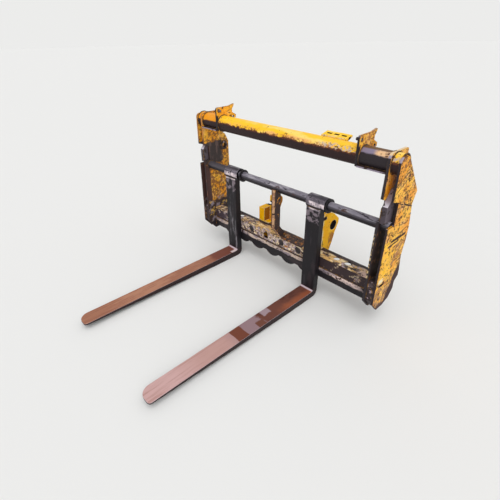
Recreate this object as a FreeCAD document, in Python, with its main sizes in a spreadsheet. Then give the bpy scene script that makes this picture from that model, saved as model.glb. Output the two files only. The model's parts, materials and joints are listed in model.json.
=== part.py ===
import FreeCAD, Part
import math
import os
import Sketcher

# Pallet fork carriage: a welded frame of paired side plates, a round top tube,
# a round fork shaft and a toe bar, with two forks that slide and swing on the shaft.
# X runs across the frame (+X is its left side), Y from the fork tips to the back, Z up.
# The origin is on the floor under the middle of the whole carriage.
# Every piece is drawn with Y = 0 on the axis of the fork shaft and then placed.

SAME_POINT = 0.05
OVERCUT = 5
TEETH = 6
STEEL = 7.85e-6

# Corners of the side plates and the middle support, as shares of the way up to the shaft
SOLE_SHARE = 0.04
ANKLE_SHARES = (0.13, 0.225)
HIP_SHARES = (0.28, 0.355)
WAIST_SHARE = 0.55
BULGE_SHARES = (0.75, 0.88)
INNER_FOOT_SHARE = 0.12
SUPPORT_FOOT_SHARE = 0.5

# How far up its front the keeper's slant starts, and how far down the lug's brow sits
KEEPER_SLANT_SHARE = 0.55
BROW_SHARE = 0.12

doc = FreeCAD.newDocument("fork_carriage")
sheet = doc.addObject("Spreadsheet::Sheet", "Sizes")


class Size:
    """A length with its value and the sheet expression that it comes from."""

    def __init__(self, text, value):
        self.text = text
        self.value = value

    def __add__(self, other):
        other = as_size(other)
        return Size("(%s + %s)" % (self.text, other.text), self.value + other.value)

    def __sub__(self, other):
        other = as_size(other)
        return Size("(%s - %s)" % (self.text, other.text), self.value - other.value)

    def __mul__(self, other):
        other = as_size(other)
        return Size("(%s * %s)" % (self.text, other.text), self.value * other.value)

    def __rmul__(self, other):
        return as_size(other) * self

    def __truediv__(self, other):
        other = as_size(other)
        return Size("(%s / %s)" % (self.text, other.text), self.value / other.value)

    def __neg__(self):
        return Size("(-1 * %s)" % self.text, -self.value)


def as_size(number):
    return number if isinstance(number, Size) else Size(repr(float(number)), float(number))


row = 0


def cell(alias, value):
    """A driving dimension: one cell of the sheet with an alias."""
    global row
    row += 1
    sheet.set("A%d" % row, alias)
    sheet.set("B%d" % row, str(value))
    sheet.setAlias("B%d" % row, alias)
    return Size("Sizes.%s" % alias, float(value))


# Clearances
weld_gap = cell("weld_gap", 0.3)
running_gap = cell("running_gap", 0.05)

# Top tube, fork shaft and the heights that the rest follows
shaft_height = cell("shaft_height", 653)
shaft_radius = cell("shaft_radius", 27)
tube_rise = cell("tube_rise", 318)
tube_rear = cell("tube_rear", 8)
tube_radius = cell("tube_radius", 50.8)
tube_wall = cell("tube_wall", 10)

# Side plates, in pairs. Y is measured from the shaft's axis.
half_width = cell("half_width", 761)
outer_thick = cell("outer_thick", 12)
pair_gap = cell("pair_gap", 40)
inner_thick = cell("inner_thick", 15)
plate_front = cell("plate_front", 50)
plate_bottom = cell("plate_bottom", 122)
foot_tall = cell("foot_tall", 66)
foot_rear = cell("foot_rear", 8)
front_round = cell("front_round", 28)

# Outer plates: top, shoulder, nose and the wavy rear edge below it
outer_crown = cell("outer_crown", 44)
shoulder_rear = cell("shoulder_rear", 14)
nose_rear = cell("nose_rear", 199)
nose_rise = cell("nose_rise", 143)
nose_tall = cell("nose_tall", 22)
nape_rear = cell("nape_rear", 173)
nape_drop = cell("nape_drop", 66)
bulge_rear = cell("bulge_rear", 201)
waist_rear = cell("waist_rear", 185)
hip_rear = cell("hip_rear", 206)
ankle_rear = cell("ankle_rear", 174)
sole_rear = cell("sole_rear", 136)
sole_front = cell("sole_front", 72)

# Inner plates: top, open hook recess and rear edge
inner_crown = cell("inner_crown", 54)
inner_rear = cell("inner_rear", 178)
hook_radius = cell("hook_radius", 54)
hook_run = cell("hook_run", 109)
hook_drop = cell("hook_drop", 40)
lip_round = cell("lip_round", 16)

# Recess in the front edge of each side plate, and the keeper above the shaft's end
notch_depth = cell("notch_depth", 42)
notch_tall = cell("notch_tall", 116)
notch_foot = cell("notch_foot", 10)
end_notch_depth = cell("end_notch_depth", 58)
end_notch_drop = cell("end_notch_drop", 27)
notch_slant = cell("notch_slant", 20)
keeper_thick = cell("keeper_thick", 29)
keeper_tall = cell("keeper_tall", 165)
keeper_rear = cell("keeper_rear", 30)
keeper_top = cell("keeper_top", 16)

# Slot low in each outer plate
slit_long = cell("slit_long", 54)
slit_tall = cell("slit_tall", 12)
slit_rear = cell("slit_rear", 8)
slit_rise = cell("slit_rise", 176)

# Spacer block between the feet of a pair
spacer_front = cell("spacer_front", 42)
spacer_deep = cell("spacer_deep", 92)
spacer_tall = cell("spacer_tall", 208)
spacer_round = cell("spacer_round", 12)

# Forks
fork_width = cell("fork_width", 100)
blade_length = cell("blade_length", 1200)
blade_thick = cell("blade_thick", 45)
tip_thick = cell("tip_thick", 10)
flat_length = cell("flat_length", 220)
shank_front = cell("shank_front", 30)
shank_thick = cell("shank_thick", 45)
heel_round = cell("heel_round", 42)
elbow_round = cell("elbow_round", 14)
eye_radius = cell("eye_radius", 42)
eye_length = cell("eye_length", 130)
right_tip_round = cell("right_tip_round", 56)
left_tip_round = cell("left_tip_round", 18)
left_fork_x = cell("left_fork_x", 293)
right_fork_x = cell("right_fork_x", -440)

# Collars on the shaft, one beside each fork's eye
collar_radius = cell("collar_radius", 42)
collar_length = cell("collar_length", 9)
left_collar_gap = cell("left_collar_gap", 5)
right_collar_gap = cell("right_collar_gap", 24)

# Toe bar and its teeth
seat_gap = cell("seat_gap", 0.3)
toe_rise = cell("toe_rise", 24)
toe_tall = cell("toe_tall", 68)
toe_deep = cell("toe_deep", 30)
toe_round = cell("toe_round", 12)
tooth_pitch = cell("tooth_pitch", 148)
tooth_width = cell("tooth_width", 118)
tooth_drop = cell("tooth_drop", 24)
tooth_thick = cell("tooth_thick", 22)
first_tooth = cell("first_tooth", -511)

# Web above the toe bar, the rim that lies along its top edge, and the shelf below and behind
web_back = cell("web_back", 7)
web_thick = cell("web_thick", 10)
web_tall = cell("web_tall", 76)
web_hole = cell("web_hole", 26)
rim_thick = cell("rim_thick", 10)
rim_front = cell("rim_front", 18)
rim_deep = cell("rim_deep", 92)
rim_hole = cell("rim_hole", 21)
rim_hole_x = cell("rim_hole_x", 433)
rim_hole_pitch = cell("rim_hole_pitch", 78)
shelf_thick = cell("shelf_thick", 8)
shelf_rise = cell("shelf_rise", 30)
shelf_rear = cell("shelf_rear", 150)

# Hitch lugs on the shelf, with the bore for the lock pin behind the frame
lug_x = cell("lug_x", 270)
right_lug_x = cell("right_lug_x", -218)
lug_thick = cell("lug_thick", 44)
lug_front = cell("lug_front", 88)
lug_tall = cell("lug_tall", 241)
lug_bore = cell("lug_bore", 33)
lug_bore_rear = cell("lug_bore_rear", 200)
lug_bore_rise = cell("lug_bore_rise", 130)
lug_eye = cell("lug_eye", 58)
lug_neck = cell("lug_neck", 20)
lug_waist = cell("lug_waist", 205)
lug_hole = cell("lug_hole", 8)
lug_hole_run = cell("lug_hole_run", 28)
lug_hole_drop = cell("lug_hole_drop", 38)
eye_front = cell("eye_front", 168)
step_tall = cell("step_tall", 102)
step_wide = cell("step_wide", 52)

# Ears on the top tube, their pins and the strips that join them to the side plates
ear_inset = cell("ear_inset", 153)
ear_thick = cell("ear_thick", 12)
horn_rise = cell("horn_rise", 115)
ear_drop = cell("ear_drop", 45)
ear_rear = cell("ear_rear", 73)
ear_hole = cell("ear_hole", 7)
horn_run = cell("horn_run", 30)
horn_tall = cell("horn_tall", 10)
jaw_run = cell("jaw_run", 47)
jaw_drop = cell("jaw_drop", 81)
jaw_tall = cell("jaw_tall", 18)
throat_run = cell("throat_run", 14)
throat_drop = cell("throat_drop", 43)
pin_radius = cell("pin_radius", 8)
pin_proud = cell("pin_proud", 18)
pin_front = cell("pin_front", 30)
pin_rise = cell("pin_rise", 84)
strip_wide = cell("strip_wide", 24)
strip_thick = cell("strip_thick", 8)
strip_drop = cell("strip_drop", 36)

# Slotted bracket behind the top of the tube
bracket_inset = cell("bracket_inset", 108)
bracket_long = cell("bracket_long", 156)
bracket_thick = cell("bracket_thick", 10)
bracket_rear = cell("bracket_rear", 75)
bracket_foot = cell("bracket_foot", 30)
bracket_crest = cell("bracket_crest", 15)
crest_rise = cell("crest_rise", 13)
tail_rise = cell("tail_rise", 16)
tail_lean = cell("tail_lean", 3)
slot_pitch = cell("slot_pitch", 46)
slot_rear = cell("slot_rear", 46.5)
slot_long = cell("slot_long", 30)
slot_wide = cell("slot_wide", 13)

# Bushes in the inner plates and the middle support under the shaft
bush_bore = cell("bush_bore", 18)
bush_radius = cell("bush_radius", 31)
bush_proud = cell("bush_proud", 8)
bush_run = cell("bush_run", 13)
bush_drop = cell("bush_drop", 159)
support_x = cell("support_x", -6)
support_thick = cell("support_thick", 30)
support_deep = cell("support_deep", 56)
doc.recompute()

# Places that follow from the sizes above
tube_height = shaft_height + tube_rise
lug_rear = lug_bore_rear + lug_eye
outer_face = half_width - outer_thick
inner_face = outer_face - pair_gap - inner_thick
pair_middle = outer_face - pair_gap / 2
inner_middle = inner_face + inner_thick / 2
ear_x = inner_face - ear_inset - ear_thick / 2
toe_front = shank_thick - shank_front + seat_gap
toe_low = plate_bottom + toe_rise
toe_top = toe_low + toe_tall
rim_top = toe_top + web_tall + rim_thick
shelf_top = toe_low + shelf_rise + shelf_thick
keeper_low = shaft_height + shaft_radius + weld_gap

# The shaft's axis lies this far behind the origin, which is under the middle of the length.
shaft_back = (shank_front + blade_length - lug_rear) / 2
pieces = []


def bind(thing, path, size):
    thing.setExpression(path, as_size(size).text)


def place(thing, label, across=0.0, up=0.0):
    """Give a finished sub-part its name and its place on the carriage."""
    thing.Label = label
    bind(thing, "Placement.Base.x", across)
    bind(thing, "Placement.Base.y", shaft_back)
    bind(thing, "Placement.Base.z", up)
    pieces.append(thing)


def new_body(name):
    return doc.addObject("PartDesign::Body", name)


def new_sketch(body, role, offset=0.0):
    """A sketch on one of the body's own origin planes, moved along the plane's normal."""
    sketch = body.newObject("Sketcher::SketchObject", "Sketch")
    plane = [feature for feature in body.Origin.OriginFeatures if feature.Role == role][0]
    sketch.AttachmentSupport = [(plane, "")]
    sketch.MapMode = "FlatFace"
    bind(sketch, "AttachmentOffset.Base.z", offset)
    return sketch


def constrain(sketch, kind, places, size):
    number = sketch.addConstraint(Sketcher.Constraint(kind, *places, size.value))
    bind(sketch, "Constraints[%d]" % number, size)


def fix_point(sketch, edge, end, across, up):
    constrain(sketch, "DistanceX", (edge, end), across)
    constrain(sketch, "DistanceY", (edge, end), up)


def arc_between(start, finish, radius):
    """The arc from start to finish that turns left with this radius, less than half a circle."""
    chord = finish - start
    rise = math.sqrt(radius ** 2 - (chord.Length / 2) ** 2)
    centre = (start + finish) / 2 + FreeCAD.Vector(-chord.y, chord.x, 0).normalize() * rise
    angles = [math.atan2(point.y - centre.y, point.x - centre.x) for point in (start, finish)]
    return Part.ArcOfCircle(Part.Circle(centre, FreeCAD.Vector(0, 0, 1), radius), *angles)


def add_outline(sketch, corners, arcs=None):
    """A closed outline through corners of (across, up) sizes, anticlockwise where it has arcs.

    An edge is straight, or an arc that bulges outwards where arcs gives its number a radius."""
    arcs = arcs or {}
    corners = [(as_size(across), as_size(up)) for across, up in corners]
    points = [FreeCAD.Vector(across.value, up.value, 0) for across, up in corners]
    first = sketch.GeometryCount
    for index, point in enumerate(points):
        following = points[(index + 1) % len(points)]
        if index in arcs:
            edge = arc_between(point, following, arcs[index].value)
        else:
            edge = Part.LineSegment(point, following)
        sketch.addGeometry(edge, False)
    for index, (across, up) in enumerate(corners):
        following = first + (index + 1) % len(points)
        sketch.addConstraint(Sketcher.Constraint("Coincident", first + index, 2, following, 1))
        fix_point(sketch, first + index, 1, across, up)
    for index, radius in arcs.items():
        constrain(sketch, "Radius", (first + index,), radius)


def add_box(sketch, across, up, wide, tall):
    """A rectangle around the point (across, up)."""
    add_outline(sketch, [
        (across - wide / 2, up - tall / 2),
        (across + wide / 2, up - tall / 2),
        (across + wide / 2, up + tall / 2),
        (across - wide / 2, up + tall / 2),
    ])


def add_circle(sketch, across, up, radius):
    across, up, radius = as_size(across), as_size(up), as_size(radius)
    centre = FreeCAD.Vector(across.value, up.value, 0)
    circle = sketch.addGeometry(Part.Circle(centre, FreeCAD.Vector(0, 0, 1), radius.value), False)
    fix_point(sketch, circle, 3, across, up)
    constrain(sketch, "Radius", (circle,), radius)


def pad(body, sketch, length):
    feature = body.newObject("PartDesign::Pad", "Pad")
    feature.Profile = sketch
    bind(feature, "Length", length)
    doc.recompute()


def pocket(body, sketch):
    """Cut right through, both ways from the sketch, and make sure that it cut."""
    before = body.Shape.Volume
    feature = body.newObject("PartDesign::Pocket", "Pocket")
    feature.Profile = sketch
    feature.Type = "ThroughAll"
    feature.SideType = "Symmetric"
    doc.recompute()
    if not body.Shape.Volume < before:
        raise RuntimeError("%s: a pocket cut nothing" % body.Name)


def round_edges(body, radius, corners, seen=("y", "z")):
    """Round the straight edges that look like single points at corners in this view of the body."""
    names = []
    for index, edge in enumerate(body.Shape.Edges):
        ends = [[getattr(vertex.Point, axis) for axis in seen] for vertex in edge.Vertexes]
        if len(ends) != 2 or math.dist(*ends) > SAME_POINT:
            continue
        if any(math.dist(ends[0], (across.value, up.value)) < SAME_POINT for across, up in corners):
            names.append("Edge%d" % (index + 1))
    if len(names) < len(corners):
        raise RuntimeError("%s: a corner to round is missing" % body.Name)
    base = body.Tip
    feature = body.newObject("PartDesign::Fillet", "Fillet")
    feature.Base = (base, names)
    bind(feature, "Radius", radius)
    doc.recompute()


def side_plate(name, corners, thick, holes=(), rounds=(), arcs=None):
    """A flat plate across X, drawn in its side view, with holes of (across, up, radius)."""
    body = new_body(name)
    sketch = new_sketch(body, "YZ_Plane", -thick / 2)
    add_outline(sketch, corners, arcs)
    pad(body, sketch, thick)
    for chosen, radius in rounds:
        round_edges(body, radius, chosen)
    for across, up, radius in holes:
        cut = new_sketch(body, "YZ_Plane")
        add_circle(cut, across, up, radius)
        pocket(body, cut)
    return body


def long_bar(name, corners):
    """A bar of one section from inner plate to inner plate."""
    body = new_body(name)
    sketch = new_sketch(body, "YZ_Plane", -inner_face)
    add_outline(sketch, corners)
    pad(body, sketch, 2 * inner_face)
    return body


def round_bar(name, radius, low_x, high_x, rear, height, wall=None):
    """A round bar or tube along X between two places, around its own axis."""
    body = new_body(name)
    sketch = new_sketch(body, "YZ_Plane", low_x)
    add_circle(sketch, rear, height, radius)
    if wall is not None:
        add_circle(sketch, rear, height, radius - wall)
    pad(body, sketch, high_x - low_x)
    return body


def notch(body, depth, low):
    """The recess in the front edge of a side plate, above the shaft, for the keeper."""
    outside = -plate_front - OVERCUT
    inside = depth - plate_front
    high = keeper_low + notch_foot + notch_tall
    sketch = new_sketch(body, "YZ_Plane")
    add_outline(sketch, [(outside, low), (inside, low), (inside, high - notch_slant), (outside, high)])
    pocket(body, sketch)


def below_shaft(share):
    """A height that is this share of the way up from the plates' bottom to the shaft."""
    return plate_bottom + (shaft_height - plate_bottom) * share


def outer_plate(name):
    top = tube_height + outer_crown
    nose = shaft_height + nose_rise
    top_front = (-plate_front, top)
    shoulder = (tube_rear + shoulder_rear, top)
    nose_tip = [(nose_rear, nose), (nose_rear - nose_tall / 3, nose - nose_tall)]
    plate = side_plate(name, [
        (-plate_front, plate_bottom + foot_tall),
        (foot_rear, plate_bottom),
        (sole_front, plate_bottom),
        (sole_rear, below_shaft(SOLE_SHARE)),
        (ankle_rear, below_shaft(ANKLE_SHARES[0])),
        (ankle_rear, below_shaft(ANKLE_SHARES[1])),
        (hip_rear, below_shaft(HIP_SHARES[0])),
        (hip_rear, below_shaft(HIP_SHARES[1])),
        (waist_rear, below_shaft(WAIST_SHARE)),
        (bulge_rear, below_shaft(BULGE_SHARES[0])),
        (bulge_rear, below_shaft(BULGE_SHARES[1])),
        (nape_rear, nose - nape_drop),
        nose_tip[1],
        nose_tip[0],
        shoulder,
        top_front,
    ], outer_thick, rounds=[([top_front], front_round), ([shoulder], lip_round), (nose_tip, nose_tall / 3)])
    slit = new_sketch(plate, "YZ_Plane")
    add_box(slit, slit_rear, plate_bottom + slit_rise, slit_long, slit_tall)
    pocket(plate, slit)
    notch(plate, end_notch_depth, keeper_low + notch_foot - end_notch_drop)
    return plate


def inner_plate(name):
    top = tube_height + inner_crown
    hook_rear = tube_rear + hook_run
    hook_height = tube_height - hook_drop
    top_front = (-plate_front, top)
    top_rear = (hook_rear, top)
    shoulder = hook_radius / 2
    plate = side_plate(name, [
        (-plate_front, plate_bottom + foot_tall),
        (foot_rear, plate_bottom),
        (inner_rear - shoulder, plate_bottom),
        (inner_rear, below_shaft(INNER_FOOT_SHARE)),
        (inner_rear, hook_height - hook_radius - 3 * shoulder),
        (inner_rear - shoulder, hook_height - hook_radius - shoulder),
        (hook_rear, hook_height - hook_radius),
        top_rear,
        top_front,
    ], inner_thick, rounds=[([top_front], front_round), ([top_rear], lip_round)], holes=[
        (hook_rear, hook_height, hook_radius),
        (0, shaft_height, shaft_radius + weld_gap),
        (tube_rear, tube_height, tube_radius + weld_gap),
        (hook_rear + bush_run, hook_height - bush_drop, bush_radius),
    ])
    notch(plate, notch_depth, keeper_low + notch_foot)
    return plate


def hitch_bush(name, sign):
    """A bush in the inner plate, proud of the face that looks to the middle of the frame."""
    low = -inner_thick / 2 - (bush_proud if sign > 0 else 0)
    high = inner_thick / 2 + (0 if sign > 0 else bush_proud)
    return round_bar(name, bush_radius, low, high, tube_rear + hook_run + bush_run,
                     tube_height - hook_drop - bush_drop, wall=bush_radius - bush_bore)


def shaft_keeper(name):
    """The block above the shaft's end, with a slanted top at the front."""
    return side_plate(name, [
        (-plate_front, keeper_low),
        (keeper_rear, keeper_low),
        (keeper_rear, keeper_low + keeper_tall),
        (keeper_rear - keeper_top, keeper_low + keeper_tall),
        (-plate_front, keeper_low + keeper_tall * KEEPER_SLANT_SHARE),
    ], keeper_thick)


def foot_spacer(name):
    top_front = (-spacer_front, plate_bottom + spacer_tall)
    low = plate_bottom + spacer_round
    return side_plate(name, [
        top_front,
        (-spacer_front, plate_bottom + foot_tall + spacer_round),
        (foot_rear, low),
        (spacer_deep - spacer_front, low),
        (spacer_deep - spacer_front, plate_bottom + spacer_tall),
    ], pair_gap, rounds=[([top_front], spacer_round)])


# Side plates in pairs, with what belongs to each pair
for side, sign in (("left", 1), ("right", -1)):
    place(outer_plate(side + "_outer"), side + "_outer_plate", sign * (half_width - outer_thick / 2))
    place(inner_plate(side + "_inner"), side + "_inner_plate", sign * inner_middle)
    place(hitch_bush(side + "_bush", sign), side + "_hitch_bush", sign * inner_middle)
    place(shaft_keeper(side + "_keeper"), side + "_shaft_keeper",
          sign * (inner_face + inner_thick + keeper_thick / 2))
    place(foot_spacer(side + "_spacer"), side + "_foot_spacer", sign * pair_middle)

# Top tube and fork shaft
top_tube = round_bar("tube", tube_radius, -outer_face, outer_face, tube_rear, tube_height, wall=tube_wall)
place(top_tube, "top_tube")
shaft = round_bar("shaft", shaft_radius, weld_gap - outer_face, outer_face - weld_gap, 0, shaft_height)
place(shaft, "fork_shaft")


def ear(name):
    """A plate round the tube with a horn at the top rear, a jaw below it and a throat between."""
    low = tube_height - ear_drop
    horn = tube_height + horn_rise
    jaw = horn - jaw_drop
    throat = horn - throat_drop
    low_front = (-plate_front, low)
    top_front = (-plate_front, horn - horn_tall)
    return side_plate(name, [
        low_front,
        (ear_rear, low),
        (ear_rear, jaw - jaw_tall),
        (ear_rear + jaw_run, jaw - jaw_tall / 2),
        (ear_rear + jaw_run, jaw + jaw_tall / 2),
        (ear_rear + throat_run, throat - horn_tall),
        (ear_rear + throat_run, throat + horn_tall),
        (ear_rear + horn_run, horn - horn_tall),
        (ear_rear + horn_run, horn),
        (ear_rear - throat_run, horn - horn_tall),
        top_front,
    ], ear_thick, rounds=[([low_front, top_front], horn_tall)], holes=[
        (tube_rear, tube_height, tube_radius + weld_gap),
        (ear_rear + jaw_run / 2, jaw, ear_hole),
        (-pin_front, tube_height + pin_rise, pin_radius + weld_gap),
    ])


def ear_strip(name, sign):
    """The flat strip under the tube from the ear to the side plate."""
    body = new_body(name)
    length = ear_inset
    rear = tube_rear - tube_radius + ear_drop / 3
    top = tube_height - strip_drop
    sketch = new_sketch(body, "YZ_Plane", 0 if sign > 0 else -length)
    add_box(sketch, rear - strip_wide / 2, top - strip_thick / 2, strip_wide, strip_thick)
    pad(body, sketch, length)
    return body


for side, sign in (("left", 1), ("right", -1)):
    place(ear(side + "_ear"), side + "_ear", sign * ear_x)
    place(ear_strip(side + "_strip", sign), side + "_ear_strip", sign * (ear_x + ear_thick / 2))
    pin_low = -ear_thick / 2 - (pin_proud if sign > 0 else 0)
    pin = round_bar(side + "_pin", pin_radius, pin_low, pin_low + ear_thick + pin_proud,
                    -pin_front, tube_height + pin_rise)
    place(pin, side + "_ear_pin", sign * ear_x)


def slotted_bracket():
    """A bent-up strip behind the top of the tube, hollowed to sit on it, with slots along it."""
    body = new_body("bracket")
    seat = tube_height + tube_radius - bracket_thick
    rear = tube_rear + bracket_rear
    sketch = new_sketch(body, "YZ_Plane", -bracket_long / 2)
    add_outline(sketch, [
        (tube_rear + bracket_foot, seat),
        (rear, seat + tail_rise),
        (rear - tail_lean, seat + tail_rise + bracket_thick),
        (tube_rear + bracket_crest, seat + crest_rise),
    ])
    pad(body, sketch, bracket_long)
    cradle = new_sketch(body, "YZ_Plane")
    add_circle(cradle, tube_rear, tube_height, tube_radius + weld_gap)
    pocket(body, cradle)
    slots = new_sketch(body, "XY_Plane")
    for step in (-1, 0, 1):
        add_box(slots, step * slot_pitch, tube_rear + slot_rear, slot_long, slot_wide)
    pocket(body, slots)
    return body


place(slotted_bracket(), "slotted_bracket", ear_x - ear_thick / 2 - bracket_inset - bracket_long / 2)


def toe_bar():
    """The bar that the fork shanks lean on, with a rounded top and a row of round teeth below."""
    top_front = (toe_front, toe_top)
    body = long_bar("toe", [
        (toe_front, toe_low),
        (toe_front + toe_deep, toe_low),
        (toe_front + toe_deep, toe_top),
        top_front,
    ])
    round_edges(body, toe_round, [top_front])
    radius = (tooth_width * tooth_width / 4 + tooth_drop * tooth_drop) / (2 * tooth_drop)
    teeth = new_sketch(body, "XZ_Plane", -(toe_front + tooth_thick))
    for count in range(TEETH):
        middle = first_tooth + count * tooth_pitch
        ends = [(middle - tooth_width / 2, toe_low), (middle + tooth_width / 2, toe_low)]
        add_outline(teeth, ends, arcs={0: radius})
    pad(body, teeth, tooth_thick)
    return body


def web_plate():
    """The upright plate on the toe bar, with round holes above the gaps between the teeth."""
    front = toe_front + web_back
    body = long_bar("web", [
        (front, toe_top),
        (front + web_thick, toe_top),
        (front + web_thick, toe_top + web_tall),
        (front, toe_top + web_tall),
    ])
    holes = new_sketch(body, "XZ_Plane")
    for count in range(TEETH - 1):
        add_circle(holes, first_tooth + (count + 0.5) * tooth_pitch, toe_top + web_tall / 2, web_hole)
    pocket(body, holes)
    return body


def rim_bar():
    """The flat bar that lies on the web's top edge, with two round holes near each end."""
    body = long_bar("rim", [
        (rim_front, rim_top - rim_thick),
        (rim_front + rim_deep, rim_top - rim_thick),
        (rim_front + rim_deep, rim_top),
        (rim_front, rim_top),
    ])
    holes = new_sketch(body, "XY_Plane")
    for sign in (1, -1):
        for across in (rim_hole_x, rim_hole_x + rim_hole_pitch):
            add_circle(holes, sign * across, rim_front + rim_deep / 2, rim_hole)
    pocket(body, holes)
    return body


def bottom_shelf():
    rear_of_toe = toe_front + toe_deep
    return long_bar("shelf", [
        (rear_of_toe, shelf_top - shelf_thick),
        (shelf_rear, shelf_top - shelf_thick),
        (shelf_rear, shelf_top),
        (rear_of_toe, shelf_top),
    ])


place(toe_bar(), "toe_bar")
place(web_plate(), "web_plate")
place(rim_bar(), "rim_bar")
place(bottom_shelf(), "bottom_shelf")


def middle_support():
    """The upright plate that holds the middle of the shaft, stepped back to the rim at its foot."""
    return side_plate("support", [
        (-plate_front, below_shaft(SUPPORT_FOOT_SHARE)),
        (rim_front, rim_top),
        (rim_front + support_deep, rim_top),
        (support_deep - plate_front, below_shaft(SUPPORT_FOOT_SHARE)),
        (support_deep - plate_front, shaft_height),
        (-plate_front, shaft_height),
    ], support_thick, holes=[(0, shaft_height, shaft_radius + weld_gap)])


place(middle_support(), "middle_support", support_x)


def lug_rear_edge():
    """The corners of a lug's foot and rear edge, from the shelf up to the back of its eye."""
    eye = rim_top + lug_bore_rise
    return [
        (rim_front + rim_deep + weld_gap, shelf_top),
        (shelf_rear, shelf_top),
        (lug_waist, rim_top),
        (lug_bore_rear + lug_eye / 2, eye - lug_eye),
        (lug_bore_rear + lug_eye, eye),
        (lug_bore_rear + lug_eye, eye + lug_eye / 2),
    ]


def left_hitch_lug():
    """A thick lug that stands on the shelf and steps forward over the rim, with its eye behind."""
    top = rim_top + lug_tall
    foot = rim_top + weld_gap
    return side_plate("left_lug", lug_rear_edge() + [
        (lug_bore_rear, top - lug_tall * BROW_SHARE),
        (lug_bore_rear - lug_eye, top),
        (lug_front, top),
        (lug_front, foot),
        (rim_front + rim_deep + weld_gap, foot),
    ], lug_thick, holes=[
        (lug_bore_rear, rim_top + lug_bore_rise, lug_bore),
        (lug_front + lug_hole_run, top - lug_hole_drop, lug_hole),
    ], rounds=[([(lug_front, top)], lug_neck)])


def right_hitch_lug():
    """A lower lug behind the rim, with a broad step beside its eye."""
    front = rim_front + rim_deep + weld_gap
    eye_top = rim_top + lug_bore_rise + lug_eye
    step_top = rim_top + step_tall
    body = side_plate("right_lug", lug_rear_edge() + [
        (lug_bore_rear + lug_eye / 2, eye_top),
        (eye_front, eye_top),
        (eye_front, rim_top),
        (front, rim_top),
    ], lug_thick)
    step = new_sketch(body, "YZ_Plane", -lug_thick / 2 - step_wide)
    add_outline(step, [
        (front, shelf_top),
        (shelf_rear, shelf_top),
        (lug_waist, rim_top),
        (lug_waist, step_top),
        (front, step_top),
    ])
    pad(body, step, step_wide)
    bore = new_sketch(body, "YZ_Plane")
    add_circle(bore, lug_bore_rear, rim_top + lug_bore_rise, lug_bore)
    pocket(body, bore)
    return body


place(left_hitch_lug(), "left_hitch_lug", lug_x)
place(right_hitch_lug(), "right_hitch_lug", right_lug_x)


def fork(name):
    """An L with a rounded heel, a tapering blade, rounded tip corners and an eye round the shaft."""
    shank_rear = shank_thick - shank_front
    tip = -shank_front - blade_length
    heel = (shank_rear, 0)
    elbow = (-shank_front, blade_thick)
    body = new_body(name)
    profile = new_sketch(body, "YZ_Plane", -fork_width / 2)
    add_outline(profile, [
        heel,
        (shank_rear, shaft_height),
        (-shank_front, shaft_height),
        elbow,
        (tip, blade_thick),
        (tip, blade_thick - tip_thick),
        (-shank_front - flat_length, 0),
    ])
    pad(body, profile, fork_width)
    round_edges(body, heel_round, [(shank_rear, as_size(0))])
    round_edges(body, elbow_round, [elbow])
    for side, radius in ((-1, right_tip_round), (1, left_tip_round)):
        round_edges(body, radius, [(side * fork_width / 2, tip)], seen=("x", "y"))
    eye = new_sketch(body, "YZ_Plane", -fork_width / 2)
    add_circle(eye, 0, shaft_height, eye_radius)
    pad(body, eye, eye_length)
    bore = new_sketch(body, "YZ_Plane")
    add_circle(bore, 0, shaft_height, shaft_radius + running_gap)
    pocket(body, bore)
    return body


for side, fork_x, collar_gap in (("left", left_fork_x, left_collar_gap),
                                 ("right", right_fork_x, right_collar_gap)):
    place(fork(side + "_fork"), side + "_fork", fork_x)
    collar = round_bar(side + "_collar", collar_radius, 0, collar_length, 0, shaft_height,
                       wall=collar_radius - shaft_radius - running_gap)
    place(collar, side + "_collar", fork_x - fork_width / 2 + eye_length + collar_gap)

doc.recompute()
for thing in doc.Objects:
    if "Invalid" in thing.State or "Error" in thing.State:
        raise RuntimeError("%s failed: %s" % (thing.Label, thing.State))
for piece in pieces:
    if piece.Shape.isNull() or not piece.Shape.isValid():
        raise RuntimeError("%s has no valid shape" % piece.Label)
os.makedirs("parts", exist_ok=True)
for piece in pieces:
    piece.Shape.exportStep("parts/%s.step" % piece.Label)
    box = piece.Shape.BoundBox
    print("%-20s %7.1f %7.1f | %8.1f %7.1f | %7.1f %7.1f | %d solids, %.2f kg" % (
        piece.Label, box.XMin, box.XMax, box.YMin, box.YMax, box.ZMin, box.ZMax,
        len(piece.Shape.Solids), piece.Shape.Volume * STEEL))
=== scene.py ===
import json
import math

import bmesh
import bpy
from mathutils import Matrix, Vector, noise


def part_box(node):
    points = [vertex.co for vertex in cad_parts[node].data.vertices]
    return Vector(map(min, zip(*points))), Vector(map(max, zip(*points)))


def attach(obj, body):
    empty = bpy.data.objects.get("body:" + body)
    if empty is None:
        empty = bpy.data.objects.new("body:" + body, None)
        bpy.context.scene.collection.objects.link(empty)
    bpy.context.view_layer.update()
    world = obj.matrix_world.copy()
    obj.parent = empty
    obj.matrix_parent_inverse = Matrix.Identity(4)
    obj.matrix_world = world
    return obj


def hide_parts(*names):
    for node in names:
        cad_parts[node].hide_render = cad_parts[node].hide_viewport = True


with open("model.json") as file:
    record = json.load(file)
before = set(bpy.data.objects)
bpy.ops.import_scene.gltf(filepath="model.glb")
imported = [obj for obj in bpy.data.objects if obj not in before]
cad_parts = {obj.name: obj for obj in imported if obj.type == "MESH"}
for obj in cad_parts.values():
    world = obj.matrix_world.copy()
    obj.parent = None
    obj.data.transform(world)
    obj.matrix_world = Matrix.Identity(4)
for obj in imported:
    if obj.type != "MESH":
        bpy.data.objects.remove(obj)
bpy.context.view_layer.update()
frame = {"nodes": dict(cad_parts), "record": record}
nodes = frame["nodes"]
bodies = frame["record"]["behaviour"]["bodies"]
body_of = {node: body for body, members in bodies.items() for node in members}

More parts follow.
